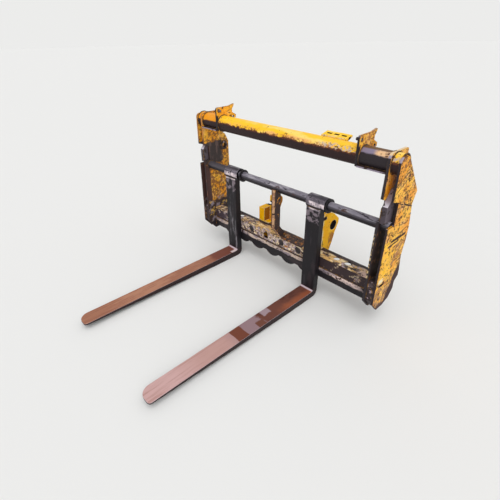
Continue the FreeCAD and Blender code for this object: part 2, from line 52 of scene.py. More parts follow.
# Camera, at the photograph's viewing angle
CAMERA_PLACE = Vector((1.43474, -1.10978, 1.5005))
CAMERA_AZIMUTH = math.radians(47.08)
CAMERA_ELEVATION = math.radians(31.24)
CAMERA_ROLL = math.radians(-0.99)
SENSOR_MM = 36.0
LENS_MM = 25.975


def add_object(name, data):
    made = bpy.data.objects.new(name, data)
    bpy.context.scene.collection.objects.link(made)
    return made


def add_camera():
    back = Vector((math.sin(CAMERA_AZIMUTH) * math.cos(CAMERA_ELEVATION),
                   -math.cos(CAMERA_AZIMUTH) * math.cos(CAMERA_ELEVATION),
                   math.sin(CAMERA_ELEVATION)))
    level = Vector((0, 0, 1)).cross(back).normalized()
    upright = back.cross(level)
    across = level * math.cos(CAMERA_ROLL) + upright * math.sin(CAMERA_ROLL)
    up = upright * math.cos(CAMERA_ROLL) - level * math.sin(CAMERA_ROLL)
    lens = bpy.data.cameras.new("camera")
    lens.lens = LENS_MM
    lens.sensor_width = SENSOR_MM
    lens.sensor_fit = "HORIZONTAL"
    camera = add_object("camera", lens)
    turn = Matrix((across, up, back)).transposed()
    camera.matrix_world = Matrix.Translation(CAMERA_PLACE) @ turn.to_4x4()
    bpy.context.scene.camera = camera


add_camera()

# The screen's colour curve: a straight foot, then a power
FOOT_END = 0.04045
FOOT_SLOPE = 12.92
CURVE_SHIFT = 0.055
CURVE_POWER = 2.4


def colour(code):
    """The linear colour of a six-figure screen colour."""
    parts = [int(code[start:start + 2], 16) / 255 for start in (0, 2, 4)]
    linear = [part / FOOT_SLOPE if part <= FOOT_END
              else ((part + CURVE_SHIFT) / (1 + CURVE_SHIFT)) ** CURVE_POWER for part in parts]
    return (*linear, 1.0)


# How much of the backdrop the surfaces mirror: little, as old paint and rust do
DULL = 0.22
DEEP_YELLOW_SHINE = 0.08

# Which way a surface looks: the axis, where the mask starts and where it is full
FRONT = ("Y", -0.35, -0.6)
SHANK_FRONT = ("Y", -0.2, -0.7)
LEFTWARD = ("X", 0.4, 0.7)
LUG_SIDE = ("X", 0.5, 0.8)

# Settings of the masks
NOISE_ROUGHNESS = 0.6
MIDDLE = 0.5
LINE_CORE = 0.3
SPECK_RAGGED, SPECK_EDGE, SPECK_ROUGH, SPECK_HEIGHT = 0.4, 0.05, 0.7, -0.3
WANDER_DETAIL = 6.0
BORE_EDGE = 0.003
# Worn edges: samples of the rounding, share of the bevelled faces, and the noise that breaks them up
EDGE_SAMPLES = 6
RIM_SHARE = 0.25
BREAK_SIZE, BREAK_DETAIL = 0.012, 5.0
BREAK_SHARE, BREAK_SHIFT = 0.25, 0.10
WORN_FROM, WORN_FULL = 0.02, 0.16
# Strokes: how far they wander, over what length, and how their ends and edges fade
STROKE_WANDER, STROKE_WAVE = 0.016, 0.03
STROKE_START, STROKE_STOP = 0.02, 0.03
STROKE_OUTER, STROKE_INNER = 0.6, 0.35
TAPER_FROM, TAPER_FULL = 0.2, 0.5
# Fine grain over everything
GRAIN_SIZE, GRAIN_DETAIL, GRAIN_HEIGHT = 0.004, 4.0, 0.25


class Finish:
    """A procedural material: a base colour with coats over it, each where its mask is 1."""

    def __init__(self, name, base, rough):
        self.material = bpy.data.materials.new(name)
        self.material.use_nodes = True
        self.tree = self.material.node_tree
        self.shader = self.tree.nodes["Principled BSDF"]
        self.shader.inputs["Specular IOR Level"].default_value = DULL
        sources = self.tree.nodes.new("ShaderNodeTexCoord")
        self.place = sources.outputs["Object"]
        self.normal = sources.outputs["Normal"]
        self.colour = colour(base)
        self.rough = rough
        self.height = 0.0

    def node(self, kind, inputs, **settings):
        made = self.tree.nodes.new(kind)
        for name, value in settings.items():
            setattr(made, name, value)
        for name, value in inputs.items():
            if isinstance(value, bpy.types.NodeSocket):
                self.tree.links.new(value, made.inputs[name])
            else:
                made.inputs[name].default_value = value
        return made

    def maths(self, operation, first, second=0.0):
        return self.node("ShaderNodeMath", {0: first, 1: second}, operation=operation).outputs[0]

    def vector_maths(self, operation, result, *values):
        return self.node("ShaderNodeVectorMath", dict(enumerate(values)), operation=operation).outputs[result]

    def ramp(self, value, low, high):
        """0 below low and 1 above high, or the other way round where low is the larger."""
        return self.node("ShaderNodeMapRange", {"Value": value, "From Min": low, "From Max": high},
                         interpolation_type="SMOOTHSTEP").outputs["Result"]

    def noise(self, size, detail=3.0, stretch=(1, 1, 1), turn=(0, 0, 0)):
        """Noise with patches of this size in metres, drawn out along the turned axes."""
        turned = self.node("ShaderNodeMapping", {
            "Vector": self.place,
            "Rotation": [math.radians(angle) for angle in turn],
            "Scale": stretch,
        }, vector_type="TEXTURE")
        return self.node("ShaderNodeTexNoise", {
            "Vector": turned.outputs[0], "Scale": 1 / size, "Detail": detail, "Roughness": NOISE_ROUGHNESS,
        }).outputs["Fac"]

    def patches(self, size, low, high, detail=5.0, stretch=(1, 1, 1), turn=(0, 0, 0)):
        return self.ramp(self.noise(size, detail, stretch, turn), low, high)

    def lines(self, size, width, detail, stretch, turn):
        """Thin lines where the noise crosses its middle value."""
        away = self.maths("ABSOLUTE", self.maths("SUBTRACT", self.noise(size, detail, stretch, turn), MIDDLE))
        return self.ramp(away, width, width * LINE_CORE)

    def edges(self, radius):
        """1 on worn sharp edges, broken up by noise."""
        soft = self.node("ShaderNodeBevel", {"Radius": radius}, samples=EDGE_SAMPLES)
        flat = self.node("ShaderNodeNewGeometry", {}).outputs["Normal"]
        turned = self.maths("SUBTRACT", 1.0, self.vector_maths("DOT_PRODUCT", "Value", soft.outputs[0], flat))
        rim = self.node("ShaderNodeAttribute", {}, attribute_name="rim").outputs["Fac"]
        near = self.maths("MAXIMUM", turned, self.maths("MULTIPLY", rim, RIM_SHARE))
        broken = self.maths("MULTIPLY", self.noise(BREAK_SIZE, BREAK_DETAIL), BREAK_SHARE)
        kept = self.maths("SUBTRACT", near, self.maths("SUBTRACT", broken, BREAK_SHIFT))
        return self.ramp(kept, WORN_FROM, WORN_FULL)

    def axis(self, socket, letter):
        return self.node("ShaderNodeSeparateXYZ", {"Vector": socket}).outputs[letter]

    def facing(self, letter, low, high, wavy=0.0, size=0.05):
        """1 where the surface looks along this axis of the piece."""
        value = self.axis(self.normal, letter)
        return self.ramp(self.rough_value(value, wavy, size), low, high)

    def beyond(self, letter, low, high, wavy=0.0, size=0.05):
        """1 on the far side of a place along this axis, in metres, with a ragged boundary."""
        value = self.axis(self.place, letter)
        return self.ramp(self.rough_value(value, wavy, size), low, high)

    def within(self, letter, low, high, wavy=0.0, size=0.05, soft=0.004):
        """1 between two places along this axis."""
        return self.both(self.beyond(letter, low - soft, low + soft, wavy, size),
                         self.beyond(letter, high + soft, high - soft, wavy, size))

    def near_line(self, y, z, radius):
        """1 inside a round bore along X, around this line and with this radius."""
        from_middle = self.vector_maths("SUBTRACT", "Vector", self.place, (0, y, z))
        across = self.vector_maths("MULTIPLY", "Vector", from_middle, (0, 1, 1))
        length = self.vector_maths("LENGTH", "Value", across)
        return self.both(self.ramp(length, radius, radius - BORE_EDGE),
                         self.facing("X", 0.6, 0.4), self.facing("X", -0.6, -0.4))

    def stroke(self, start, finish, width):
        """1 along a ragged line between two (Y, Z) places, narrow at both ends."""
        run, rise = finish[0] - start[0], finish[1] - start[1]
        length = math.hypot(run, rise)
        y = self.maths("SUBTRACT", self.axis(self.place, "Y"), start[0])
        z = self.maths("SUBTRACT", self.axis(self.place, "Z"), start[1])
        along = self.maths("ADD", self.maths("MULTIPLY", y, run / length),
                           self.maths("MULTIPLY", z, rise / length))
        aside = self.maths("SUBTRACT", self.maths("MULTIPLY", z, run / length),
                           self.maths("MULTIPLY", y, rise / length))
        away = self.maths("ABSOLUTE", self.rough_value(aside, STROKE_WANDER, STROKE_WAVE))
        ends = self.both(self.ramp(along, 0, STROKE_START), self.ramp(along, length, length - STROKE_STOP))
        return self.both(self.ramp(away, width * STROKE_OUTER, width * STROKE_INNER),
                         self.ramp(ends, TAPER_FROM, TAPER_FULL))

    def rough_value(self, value, wavy, size):
        if not wavy:
            return value
        wander = self.maths("SUBTRACT", self.noise(size, WANDER_DETAIL), MIDDLE)
        return self.maths("ADD", value, self.maths("MULTIPLY", wander, wavy))

    def both(self, *masks):
        result = masks[0]
        for mask in masks[1:]:
            result = self.maths("MULTIPLY", result, mask)
        return result

    def coat(self, code, *masks, rough=None, height=0.0):
        """Lay a colour where all masks are 1, with its own roughness, if one is given, and thickness."""
        mask = self.both(*masks)
        self.colour = self.node("ShaderNodeMixRGB", {
            "Fac": mask, "Color1": self.colour, "Color2": colour(code),
        }).outputs["Color"]
        if rough is not None:
            change = self.node("ShaderNodeMapRange", {"Value": mask, "To Min": self.rough, "To Max": rough})
            self.rough = change.outputs["Result"]
        if height:
            self.raise_by(mask, height)

    def patchy(self, code, size, low, high, where=None, rough=None, height=0.0, **shape):
        """Lay a colour in noise patches of this size, all over or only inside a mask."""
        mask = self.patches(size, low, high, **shape)
        self.coat(code, *([where, mask] if where else [mask]), rough=rough, height=height)

    def speckle(self, code, spacing, radius):
        """Lay small ragged dots at random places about a spacing apart."""
        cells = self.node("ShaderNodeTexVoronoi", {"Vector": self.place, "Scale": 1 / spacing})
        ragged = self.maths("MULTIPLY", self.noise(spacing * SPECK_RAGGED), radius * 2)
        away = self.maths("SUBTRACT", cells.outputs["Distance"], ragged)
        self.coat(code, self.ramp(away, SPECK_EDGE, -SPECK_EDGE), rough=SPECK_ROUGH, height=SPECK_HEIGHT)

    def raise_by(self, mask, height):
        self.height = self.maths("ADD", self.height, self.maths("MULTIPLY", mask, height))

    def done(self, depth=0.0008):
        """Join the coats to the shader, with a fine grain over everything."""
        self.raise_by(self.noise(GRAIN_SIZE, GRAIN_DETAIL), GRAIN_HEIGHT)
        bump = self.node("ShaderNodeBump", {"Height": self.height, "Distance": depth, "Strength": 1.0})
        self.tree.links.new(bump.outputs[0], self.shader.inputs["Normal"])
        self.tree.links.new(self.colour, self.shader.inputs["Base Color"])
        if isinstance(self.rough, bpy.types.NodeSocket):
            self.tree.links.new(self.rough, self.shader.inputs["Roughness"])
        else:
            self.shader.inputs["Roughness"].default_value = self.rough
        return self.material


# Colours that come back on several pieces
ORANGE = "F3A01C"
DEEP_ORANGE = "D9820F"
PEACH = "F2B467"
CREAM = "E6C99B"
LEMON = "FFC728"
PALE_LEMON = "FFDB74"
RUST = "63391F"
DARK_RUST = "33221C"
BLACK = "1D1A1E"
# Lilac-grey of the painted highlight where a front edge rounds over to the top
HIGHLIGHT_LILAC = "A397A4"

# Long scratches on the near outer plate: start and end as (Y, Z) and the width, in metres
SCRATCHES = [
    ((0.470, 0.541), (0.600, 0.548), 0.0110),
    ((0.495, 0.566), (0.672, 0.562), 0.0170),
    ((0.560, 0.590), (0.665, 0.600), 0.0060),
    ((0.539, 0.468), (0.582, 0.416), 0.0040),
    ((0.580, 0.417), (0.690, 0.424), 0.0045),
    ((0.431, 0.876), (0.549, 0.936), 0.0060),
    ((0.441, 0.840), (0.560, 0.905), 0.0045),
    ((0.455, 0.797), (0.560, 0.758), 0.0060),
    ((0.560, 0.758), (0.680, 0.712), 0.0075),
    ((0.543, 0.645), (0.660, 0.632), 0.0040),
    ((0.553, 0.214), (0.640, 0.222), 0.0055),
    ((0.530, 0.262), (0.655, 0.268), 0.0045),
    ((0.520, 0.330), (0.560, 0.350), 0.0040),
]

# The dark band along the near outer plate's rear edge leans back with its height
REAR_LEAN = 0.42
REAR_FROM, REAR_FULL = 0.494, 0.506

# The tube's stretches by distance from its middle: ear, and end beyond the ear
EAR_END = 0.541
TUBE_END = 0.702

# The lugs' large bore and the left one's small bore, as (Y, Z, radius) in metres
LUG_BORE = (0.686, 0.430, 0.0375)
LUG_SMALL_BORE = (0.602, 0.503, 0.0120)

# A wet patch on the near blade, with a painted sheen, from and to these places along X and Y
SHARD_X = (0.235, 0.288)
SHARD_Y = (0.060, 0.122)


def plate_paint(name, chip):
    """Orange-yellow paint with streaks, cracks, specks and chips, as on the side plates."""
    paint = Finish(name, ORANGE, rough=0.45)
    paint.patchy("FFC23E", 0.12, 0.42, 0.58)
    paint.patchy(PEACH, 0.06, 0.52, 0.64, detail=6)
    paint.patchy(DEEP_ORANGE, 0.05, 0.54, 0.68, detail=6)
    paint.patchy("A9702B", 0.03, 0.55, 0.85, detail=9, rough=0.6)
    streaks = paint.patches(0.006, 0.6, 0.66, detail=2, stretch=(1, 15, 1), turn=(25, 0, 0))
    paint.patchy(RUST, 0.1, 0.46, 0.58, where=streaks, rough=0.65, height=-0.4)
    cracks = paint.lines(0.03, 0.035, detail=5, stretch=(1, 1, 2), turn=(-25, 0, 0))
    paint.patchy(DARK_RUST, 0.05, 0.5, 0.6, where=cracks, rough=0.7, height=-0.4)
    paint.speckle(RUST, 0.022, 0.15)
    paint.patchy(RUST, 0.03, chip, chip + 0.03, detail=9, rough=0.7, height=-0.8)
    paint.patchy(DARK_RUST, 0.03, chip + 0.05, chip + 0.08, detail=9, rough=0.75, height=-0.3)
    return paint


def bare_edges(paint):
    paint.coat(DARK_RUST, paint.edges(0.006), rough=0.6, height=-0.5)


def dark_front_with_highlight(paint, code, top):
    """The dark front edge of a plate, with a painted highlight where it rounds over to the top."""
    paint.coat(code, paint.facing(*FRONT), rough=0.5)
    rounded = paint.both(paint.facing("Y", -0.1, -0.3), paint.facing("Z", 0.1, 0.3))
    # painted highlight: the second colour where the front edge rounds over to the top
    paint.coat(top, rounded, rough=0.35)


def near_plate_paint():
    """The near outer plate: bright and scratched in its middle, brown and darker towards its foot and rear,
    with painted shade inside its slit.
    """
    paint = plate_paint("outer_plate_paint", 0.62)
    bright = paint.both(paint.within("Z", 0.33, 0.58, wavy=0.1), paint.beyond("Y", 0.6, 0.55, wavy=0.1))
    paint.patchy("FFC227", 0.07, 0.4, 0.54, where=bright)
    rubbed = paint.both(paint.within("Z", 0.4, 0.52, wavy=0.1), paint.beyond("Y", 0.5, 0.56, wavy=0.08))
    paint.patchy(
        "A8744E", 0.03, 0.44, 0.58, where=rubbed, rough=0.6, detail=7, stretch=(1, 2, 1),
        turn=(30, 0, 0))
    low = paint.beyond("Z", 0.36, 0.2, wavy=0.12)
    paint.patchy("A67D58", 0.03, 0.4, 0.54, where=low, rough=0.6, detail=7)
    high = paint.both(paint.beyond("Z", 0.66, 0.74, wavy=0.05), paint.patches(0.05, 0.4, 0.5))
    paint.patchy("6B4524", 0.011, 0.54, 0.58, where=high, rough=0.7, height=-0.4, detail=4)
    dots = paint.patches(0.012, 0.56, 0.59, detail=4, stretch=(1, 1.6, 1), turn=(30, 0, 0))
    paint.patchy("4A2E1E", 0.08, 0.36, 0.48, where=dots, rough=0.7, height=-0.4)
    for start, finish, width in SCRATCHES:
        paint.coat(DARK_RUST, paint.stroke(start, finish, width), rough=0.7, height=-0.6)
    slant = paint.maths(
        "SUBTRACT", paint.axis(paint.place, "Y"),
        paint.maths("MULTIPLY", paint.axis(paint.place, "Z"), REAR_LEAN))
    rear = paint.ramp(paint.rough_value(slant, 0.06, 0.04), REAR_FROM, REAR_FULL)
    paint.coat("3F2A29", rear, paint.beyond("Z", 0.42, 0.34, wavy=0.1), rough=0.7)
    foot = paint.beyond("Z", 0.165, 0.14, wavy=0.06)
    paint.coat("4A3535", foot, rough=0.7)
    # painted shade: black inside the slit
    slit = paint.both(
        paint.within("Z", 0.285, 0.312), paint.within("Y", 0.462, 0.526), paint.facing("X", 0.7, 0.4))
    paint.coat(BLACK, slit, rough=0.7)
    above_slit = paint.both(
        paint.within("Z", 0.316, 0.346, wavy=0.012, size=0.02),
        paint.within("Y", 0.452, 0.5, wavy=0.012, size=0.02), paint.facing(*LEFTWARD))
    paint.patchy("EFE2B8", 0.012, 0.36, 0.46, where=above_slit, rough=0.5)
    crown = paint.beyond("Z", 0.95, 0.975, wavy=0.03)
    paint.patchy("8A5A30", 0.022, 0.44, 0.54, where=crown, rough=0.6, detail=6)
    bare_edges(paint)
    dark_front_with_highlight(paint, "2C2226", HIGHLIGHT_LILAC)
    return paint.done()


def far_plate_paint():
    """Orange with dark bands, as on the far pair of side plates, and painted shade inside the outer plate and
    along the front below the shaft.
    """
    paint = plate_paint("far_plate_paint", 0.62)
    worn = paint.both(
        paint.patches(0.02, 0.42, 0.56, detail=7), paint.facing("X", -0.6, -0.3),
        paint.beyond("Z", 0.86, 0.8, wavy=0.06))
    paint.coat("8A5C2E", worn, rough=0.6)
    paint.patchy("8A5C2E", 0.02, 0.5, 0.62, rough=0.6, detail=7)
    waist = paint.both(
        paint.within("Z", 0.655, 0.815, wavy=0.05), paint.beyond("Y", 0.615, 0.59, wavy=0.05))
    paint.coat("3E3534", waist, rough=0.6)
    paint.patchy("62504C", 0.03, 0.5, 0.62, where=waist, rough=0.6, detail=6, stretch=(1, 1, 3))
    # painted shade: darker on the outer plate's inner face and along the front, below the shaft
    inside = paint.both(paint.beyond("X", -0.735, -0.745), paint.facing(*LEFTWARD))
    shade = paint.maths("MAXIMUM", inside, paint.beyond("Y", 0.488, 0.47, wavy=0.03))
    paint.coat("4A3330", shade, paint.beyond("Z", 0.68, 0.64, wavy=0.03), rough=0.6)
    low = paint.beyond("Z", 0.375, 0.345, wavy=0.1)
    paint.coat("42332F", low, rough=0.65)
    paint.patchy("857B85", 0.05, 0.52, 0.6, where=paint.beyond("Z", 0.4, 0.36), rough=0.5)
    paint.patchy("C7A055", 0.04, 0.58, 0.62, where=paint.beyond("Z", 0.38, 0.34), rough=0.55)
    foot = paint.beyond("Z", 0.205, 0.18, wavy=0.04)
    paint.coat("2C2426", foot, rough=0.7)
    front = paint.facing(*FRONT)
    paint.coat("C9853A", front, rough=0.5)
    paint.coat("38292A", front, paint.beyond("Z", 0.86, 0.82, wavy=0.05), rough=0.6)
    paint.patchy("74483A", 0.03, 0.54, 0.6, where=front, rough=0.6, detail=6, stretch=(1, 1, 3))
    bare_edges(paint)
    return paint.done()


def inner_plate_paint():
    """Orange above the shaft; browner towards the rear, partly painted shadow, and dark further down as
    painted shade; a dark front edge and a painted highlight along the top.
    """
    paint = plate_paint("inner_plate_paint", 0.6)
    # browner towards the rear: partly painted shadow of the outer plate
    rear = paint.both(paint.beyond("Y", 0.47, 0.56, wavy=0.04), paint.beyond("Z", 1.0, 0.9))
    paint.coat("7A4A1E", rear, rough=0.6)
    # painted shade: dark further down, in the gap between the plates, with rust patches
    low = paint.beyond("Z", 0.8, 0.7, wavy=0.1)
    paint.coat("2E2527", low, rough=0.6)
    paint.patchy("6B4A30", 0.03, 0.56, 0.62, where=paint.beyond("Z", 0.7, 0.6), rough=0.6, detail=8)
    bare_edges(paint)
    dark_front_with_highlight(paint, "2F282C", HIGHLIGHT_LILAC)
    corner = paint.both(
        paint.facing(*FRONT), paint.beyond("X", 0.703, 0.7), paint.within("Z", 0.34, 0.62, wavy=0.05))
    paint.patchy("CDB283", 0.014, 0.49, 0.53, where=corner, rough=0.5, detail=4)
    # painted highlight: cream along the top edge
    top = paint.both(paint.facing("Z", 0.5, 0.8), paint.beyond("Z", 0.98, 1.0))
    paint.coat(CREAM, top, rough=0.4)
    return paint.done()


def support_paint():
    """The middle support: a light worn front edge between dark sides, the dark being painted shade with
    patches of rust and paint.
    """
    # painted shade: the dark base colour of the sides
    paint = Finish("support_paint", "3B2E2D", rough=0.6)
    paint.patchy("6B4A30", 0.03, 0.52, 0.62, rough=0.6, detail=7)
    paint.patchy(ORANGE, 0.03, 0.6, 0.66, rough=0.5, detail=7)
    front = paint.both(paint.facing(*FRONT), paint.beyond("X", -0.014, -0.011, wavy=0.004))
    paint.coat("9C7256", front, rough=0.5)
    paint.patchy("C79E78", 0.025, 0.46, 0.56, where=front, rough=0.45, detail=7)
    paint.patchy(DARK_RUST, 0.02, 0.56, 0.62, where=front, rough=0.6, detail=7)
    return paint.done()


def tube_paint():
    """Lemon yellow above and painted shade below, with a ragged boundary and rubbed patches, and a dark left
    end with a painted highlight band.
    """
    paint = Finish("tube_paint", LEMON, rough=0.42)
    paint.patchy(PALE_LEMON, 0.08, 0.48, 0.64, detail=4, stretch=(3, 1, 1))
    shoulder = paint.facing("Z", 0.75, 0.45, wavy=0.3)
    paint.patchy(PEACH, 0.04, 0.44, 0.6, where=shoulder, detail=7, stretch=(2, 1, 1))
    rubbed = paint.both(paint.beyond("X", 0.2, 0.4, wavy=0.2), paint.facing("Z", 0.85, 0.6, wavy=0.4))
    paint.patchy("BFB0A6", 0.018, 0.46, 0.56, where=rubbed, rough=0.45, detail=8)
    paint.patchy("4A3528", 0.013, 0.55, 0.6, where=rubbed, rough=0.6, height=-0.3, detail=8)
    paint.speckle(RUST, 0.024, 0.1)
    paint.patchy(RUST, 0.04, 0.65, 0.68, rough=0.7, height=-0.6, detail=9)
    blend = paint.both(paint.facing("Z", 0.62, 0.42, wavy=0.3), paint.patches(0.012, 0.46, 0.56))
    paint.patchy("A8693A", 0.08, 0.38, 0.5, where=blend, rough=0.6)
    # painted shade: dark brown, then near black, underneath the tube
    paint.coat("5C3220", paint.facing("Z", 0.36, 0.26, wavy=0.9, size=0.025), rough=0.55, height=-0.4)
    paint.coat("2C1A1B", paint.facing("Z", 0.22, 0.1, wavy=0.7, size=0.025), rough=0.55)
    far_end = paint.both(paint.beyond("X", -0.54, -0.542), paint.facing("Z", 0.2, 0.35))
    paint.coat("EE9A18", far_end, rough=0.45)
    side = paint.maths("ABSOLUTE", paint.axis(paint.place, "X"))
    # the left end beyond the ear: dark, with a brown top and a painted highlight band below it, placed as on
    # the thinner real stub
    bare = paint.both(
        paint.maths("GREATER_THAN", side, EAR_END), paint.maths("LESS_THAN", side, TUBE_END),
        paint.maths("GREATER_THAN", paint.axis(paint.place, "X"), 0.0))
    paint.coat("2A2327", bare, rough=0.42)
    paint.coat("6B4E33", bare, paint.facing("Z", 0.85, 0.95, wavy=0.2), rough=0.5)
    # painted highlight: a lilac band along the left end
    lit = paint.both(bare, paint.facing("Z", 0.5, 0.64, wavy=0.3), paint.facing("Z", 0.95, 0.88, wavy=0.1))
    paint.coat("857A90", lit, rough=0.35)
    # painted highlight: cream where the band nears the plate, with brown specks
    worn = paint.both(lit, paint.beyond("X", 0.6, 0.63, wavy=0.03))
    paint.coat("E3B98C", worn, rough=0.4)
    paint.patchy("5B3B31", 0.015, 0.5, 0.58, where=worn, rough=0.55, detail=7)
    return paint.done()


def lemon_paint():
    """Bright clean yellow with a few chips: the slotted bracket."""
    paint = Finish("lemon_paint", "FFCC22", rough=0.42)
    paint.patchy(PALE_LEMON, 0.06, 0.5, 0.68)
    paint.speckle(RUST, 0.02, 0.12)
    paint.patchy(RUST, 0.03, 0.66, 0.69, rough=0.7, height=-0.5, detail=9)
    # painted shade: dark inside the slots
    slots = paint.both(paint.facing("Z", 0.5, 0.2), paint.within("Y", 0.532, 0.552))
    paint.coat(DARK_RUST, slots, rough=0.7)
    return paint.done()


def lug_paint():
    """Deep yellow, pale on its worn edges and dark inside its bores, with painted shade on the right lug's
    side that faces +X.
    """
    paint = Finish("lug_paint", "FFBA00", rough=0.42)
    paint.shader.inputs["Specular IOR Level"].default_value = DEEP_YELLOW_SHINE
    paint.patchy("FFC820", 0.06, 0.46, 0.64)
    paint.patchy("E39417", 0.04, 0.62, 0.74, detail=6)
    # painted shade: darker on the side of the right lug that faces +X
    shaded_side = paint.both(paint.beyond("X", 0.0, -0.05), paint.facing(*LUG_SIDE))
    paint.coat("9A6218", shaded_side, rough=0.5)
    worn = paint.both(paint.beyond("Y", 0.635, 0.655, wavy=0.04), paint.beyond("Z", 0.4, 0.36, wavy=0.06))
    paint.patchy("B97A35", 0.04, 0.4, 0.52, where=worn, rough=0.6, detail=7)
    paint.speckle(RUST, 0.02, 0.13)
    paint.coat("F3DBAE", paint.edges(0.006), rough=0.5, height=-0.3)
    margin = paint.both(paint.beyond("Y", 0.588, 0.578, wavy=0.02, size=0.03), paint.facing(*LUG_SIDE))
    paint.patchy("FBE6BC", 0.025, 0.4, 0.5, where=margin, rough=0.5, detail=6)
    dirty = paint.both(paint.beyond("Y", 0.612, 0.6, wavy=0.02), paint.within("Z", 0.495, 0.52, wavy=0.01))
    paint.coat(DARK_RUST, dirty, rough=0.6)
    groove = paint.both(
        paint.within("Y", 0.584, 0.59, wavy=0.01, soft=0.002), paint.within("Z", 0.24, 0.35, wavy=0.05))
    paint.coat(DARK_RUST, groove, rough=0.6)
    bores = paint.maths("MAXIMUM", paint.near_line(*LUG_BORE), paint.near_line(*LUG_SMALL_BORE))
    paint.coat(BLACK, bores, rough=0.6)
    return paint.done()


def ear_paint():
    """Orange ears: the near one browner and the far one brighter, with dark front edges."""
    paint = plate_paint("ear_paint", 0.6)
    paint.patchy("B0733A", 0.025, 0.46, 0.6, where=paint.beyond("X", 0.0, 0.1), rough=0.6, detail=8)
    paint.patchy("FFB92E", 0.025, 0.48, 0.6, where=paint.beyond("X", 0.0, -0.1), detail=7)
    paint.speckle(RUST, 0.014, 0.18)
    paint.coat(DARK_RUST, paint.edges(0.005), rough=0.6, height=-0.4)
    tip = paint.both(paint.beyond("Y", 0.454, 0.446), paint.beyond("Z", 1.03, 1.02))
    paint.coat("2B2226", tip, rough=0.5)
    # dark front edge, with a lilac-grey painted highlight where it rounds over to the top
    dark_front_with_highlight(paint, "241E22", "6E6672")
    return paint.done()


def strip_paint():
    """The strips under the tube: dark, with a painted lilac highlight on their front faces."""
    paint = Finish("strip_paint", "3A2C2A", rough=0.5)
    # painted highlight: lilac on the front faces
    paint.coat("8F8494", paint.facing("Y", -0.4, -0.7), rough=0.4)
    paint.patchy(DARK_RUST, 0.03, 0.52, 0.6, rough=0.65, detail=7)
    return paint.done()


def web_paint():
    """Cream, lilac and rust over the web, darker towards its left, partly as painted shadow of the near fork.
    """
    paint = Finish("web_paint", "85706A", rough=0.55)
    paint.patchy("A98A70", 0.05, 0.48, 0.58, rough=0.5, detail=7)
    paint.patchy("B5A3AB", 0.03, 0.46, 0.54, rough=0.42, detail=7)
    paint.patchy("B0702C", 0.045, 0.58, 0.63, rough=0.55, detail=8)
    paint.patchy("F3DDB5", 0.016, 0.53, 0.58, rough=0.5, height=0.4, detail=6)
    paint.patchy("33262A", 0.02, 0.54, 0.59, rough=0.7, height=-0.4, detail=6)
    # darker towards the left: partly rust, partly painted shadow of the near fork
    left = paint.beyond("X", 0.1, 0.3, wavy=0.1)
    paint.patchy("3B2E30", 0.06, 0.34, 0.46, where=left, rough=0.6, detail=7)
    far = paint.beyond("X", -0.46, -0.56, wavy=0.06)
    paint.patchy("453840", 0.05, 0.4, 0.5, where=far, rough=0.6, detail=7)
    foot = paint.beyond("Z", 0.228, 0.218, wavy=0.012, size=0.03)
    paint.coat("3A2E30", foot, rough=0.6)
    return paint.done(depth=0.0012)


def rim_paint():
    """Dark along the rear of the rim, with cream flakes of paint in front and a darker middle of rust, partly
    painted shadow.
    """
    paint = Finish("rim_paint", "352B2D", rough=0.55)
    paint.patchy("54474A", 0.05, 0.5, 0.64, rough=0.45, detail=6, stretch=(3, 1, 1))
    front = paint.beyond("Y", 0.572, 0.556, wavy=0.05, size=0.06)
    paint.patchy("7D6458", 0.05, 0.42, 0.52, where=front, rough=0.5, detail=7, stretch=(2, 1, 1))
    paint.patchy(
        "D9AE6F", 0.035, 0.46, 0.54, where=front, rough=0.5, height=0.4, detail=8, stretch=(2, 1, 1))
    paint.patchy(
        "F6DDAE", 0.025, 0.52, 0.58, where=front, rough=0.5, height=0.2, detail=8, stretch=(2, 1, 1))
    paint.patchy("B3A2A8", 0.04, 0.56, 0.62, where=front, rough=0.4, detail=6)
    # darker in the middle: rust, partly painted shadow
    middle = paint.both(
        paint.within("X", -0.01, 0.21, wavy=0.14, size=0.07), paint.beyond("Z", 0.27, 0.285),
        paint.patches(0.05, 0.34, 0.44, detail=7))
    paint.coat("43322D", middle, rough=0.6)
    paint.patchy("A0642A", 0.03, 0.52, 0.58, where=middle, rough=0.55, detail=6)
    by_lug = paint.both(
        paint.within("X", 0.225, 0.33, wavy=0.03), paint.beyond("Y", 0.56, 0.545, wavy=0.04))
    paint.patchy("F3DDB0", 0.02, 0.36, 0.46, where=by_lug, rough=0.5, height=0.3, detail=6)
    by_plate = paint.both(front, paint.beyond("X", 0.6, 0.64, wavy=0.05))
    paint.patchy("D7B6A6", 0.03, 0.38, 0.48, where=by_plate, rough=0.45, detail=7)
    paint.patchy("2B2122", 0.025, 0.58, 0.63, rough=0.7, height=-0.4, detail=8)
    return paint.done(depth=0.0012)


def toe_steel():
    """Black scale with a lighter lip along its top, partly rubbed and partly painted highlight, brightest
    towards the left end.
    """
    steel = Finish("toe_steel", BLACK, rough=0.5)
    steel.patchy("3A3134", 0.06, 0.48, 0.66, detail=6, stretch=(3, 1, 1))
    # the lighter lip: partly rubbed steel, partly painted highlight
    lip = steel.both(
        steel.beyond("Z", 0.186, 0.194, wavy=0.03, size=0.04),
        steel.patches(0.09, 0.36, 0.48, stretch=(3, 1, 1)))
    steel.coat("8A7C83", lip, rough=0.42)
    steel.patchy("CDB7A8", 0.04, 0.47, 0.56, where=lip, rough=0.45, detail=7, stretch=(3, 1, 1))
    # painted highlight: brighter on the lip towards the left end
    bright = steel.both(lip, steel.beyond("X", 0.38, 0.5, wavy=0.05))
    steel.patchy("DFC5BC", 0.03, 0.4, 0.5, where=bright, rough=0.42, detail=6, stretch=(2, 1, 1))
    steel.patchy(DARK_RUST, 0.03, 0.58, 0.62, where=lip, rough=0.6, detail=7)
    steel.speckle(DARK_RUST, 0.02, 0.12)
    return steel.done()


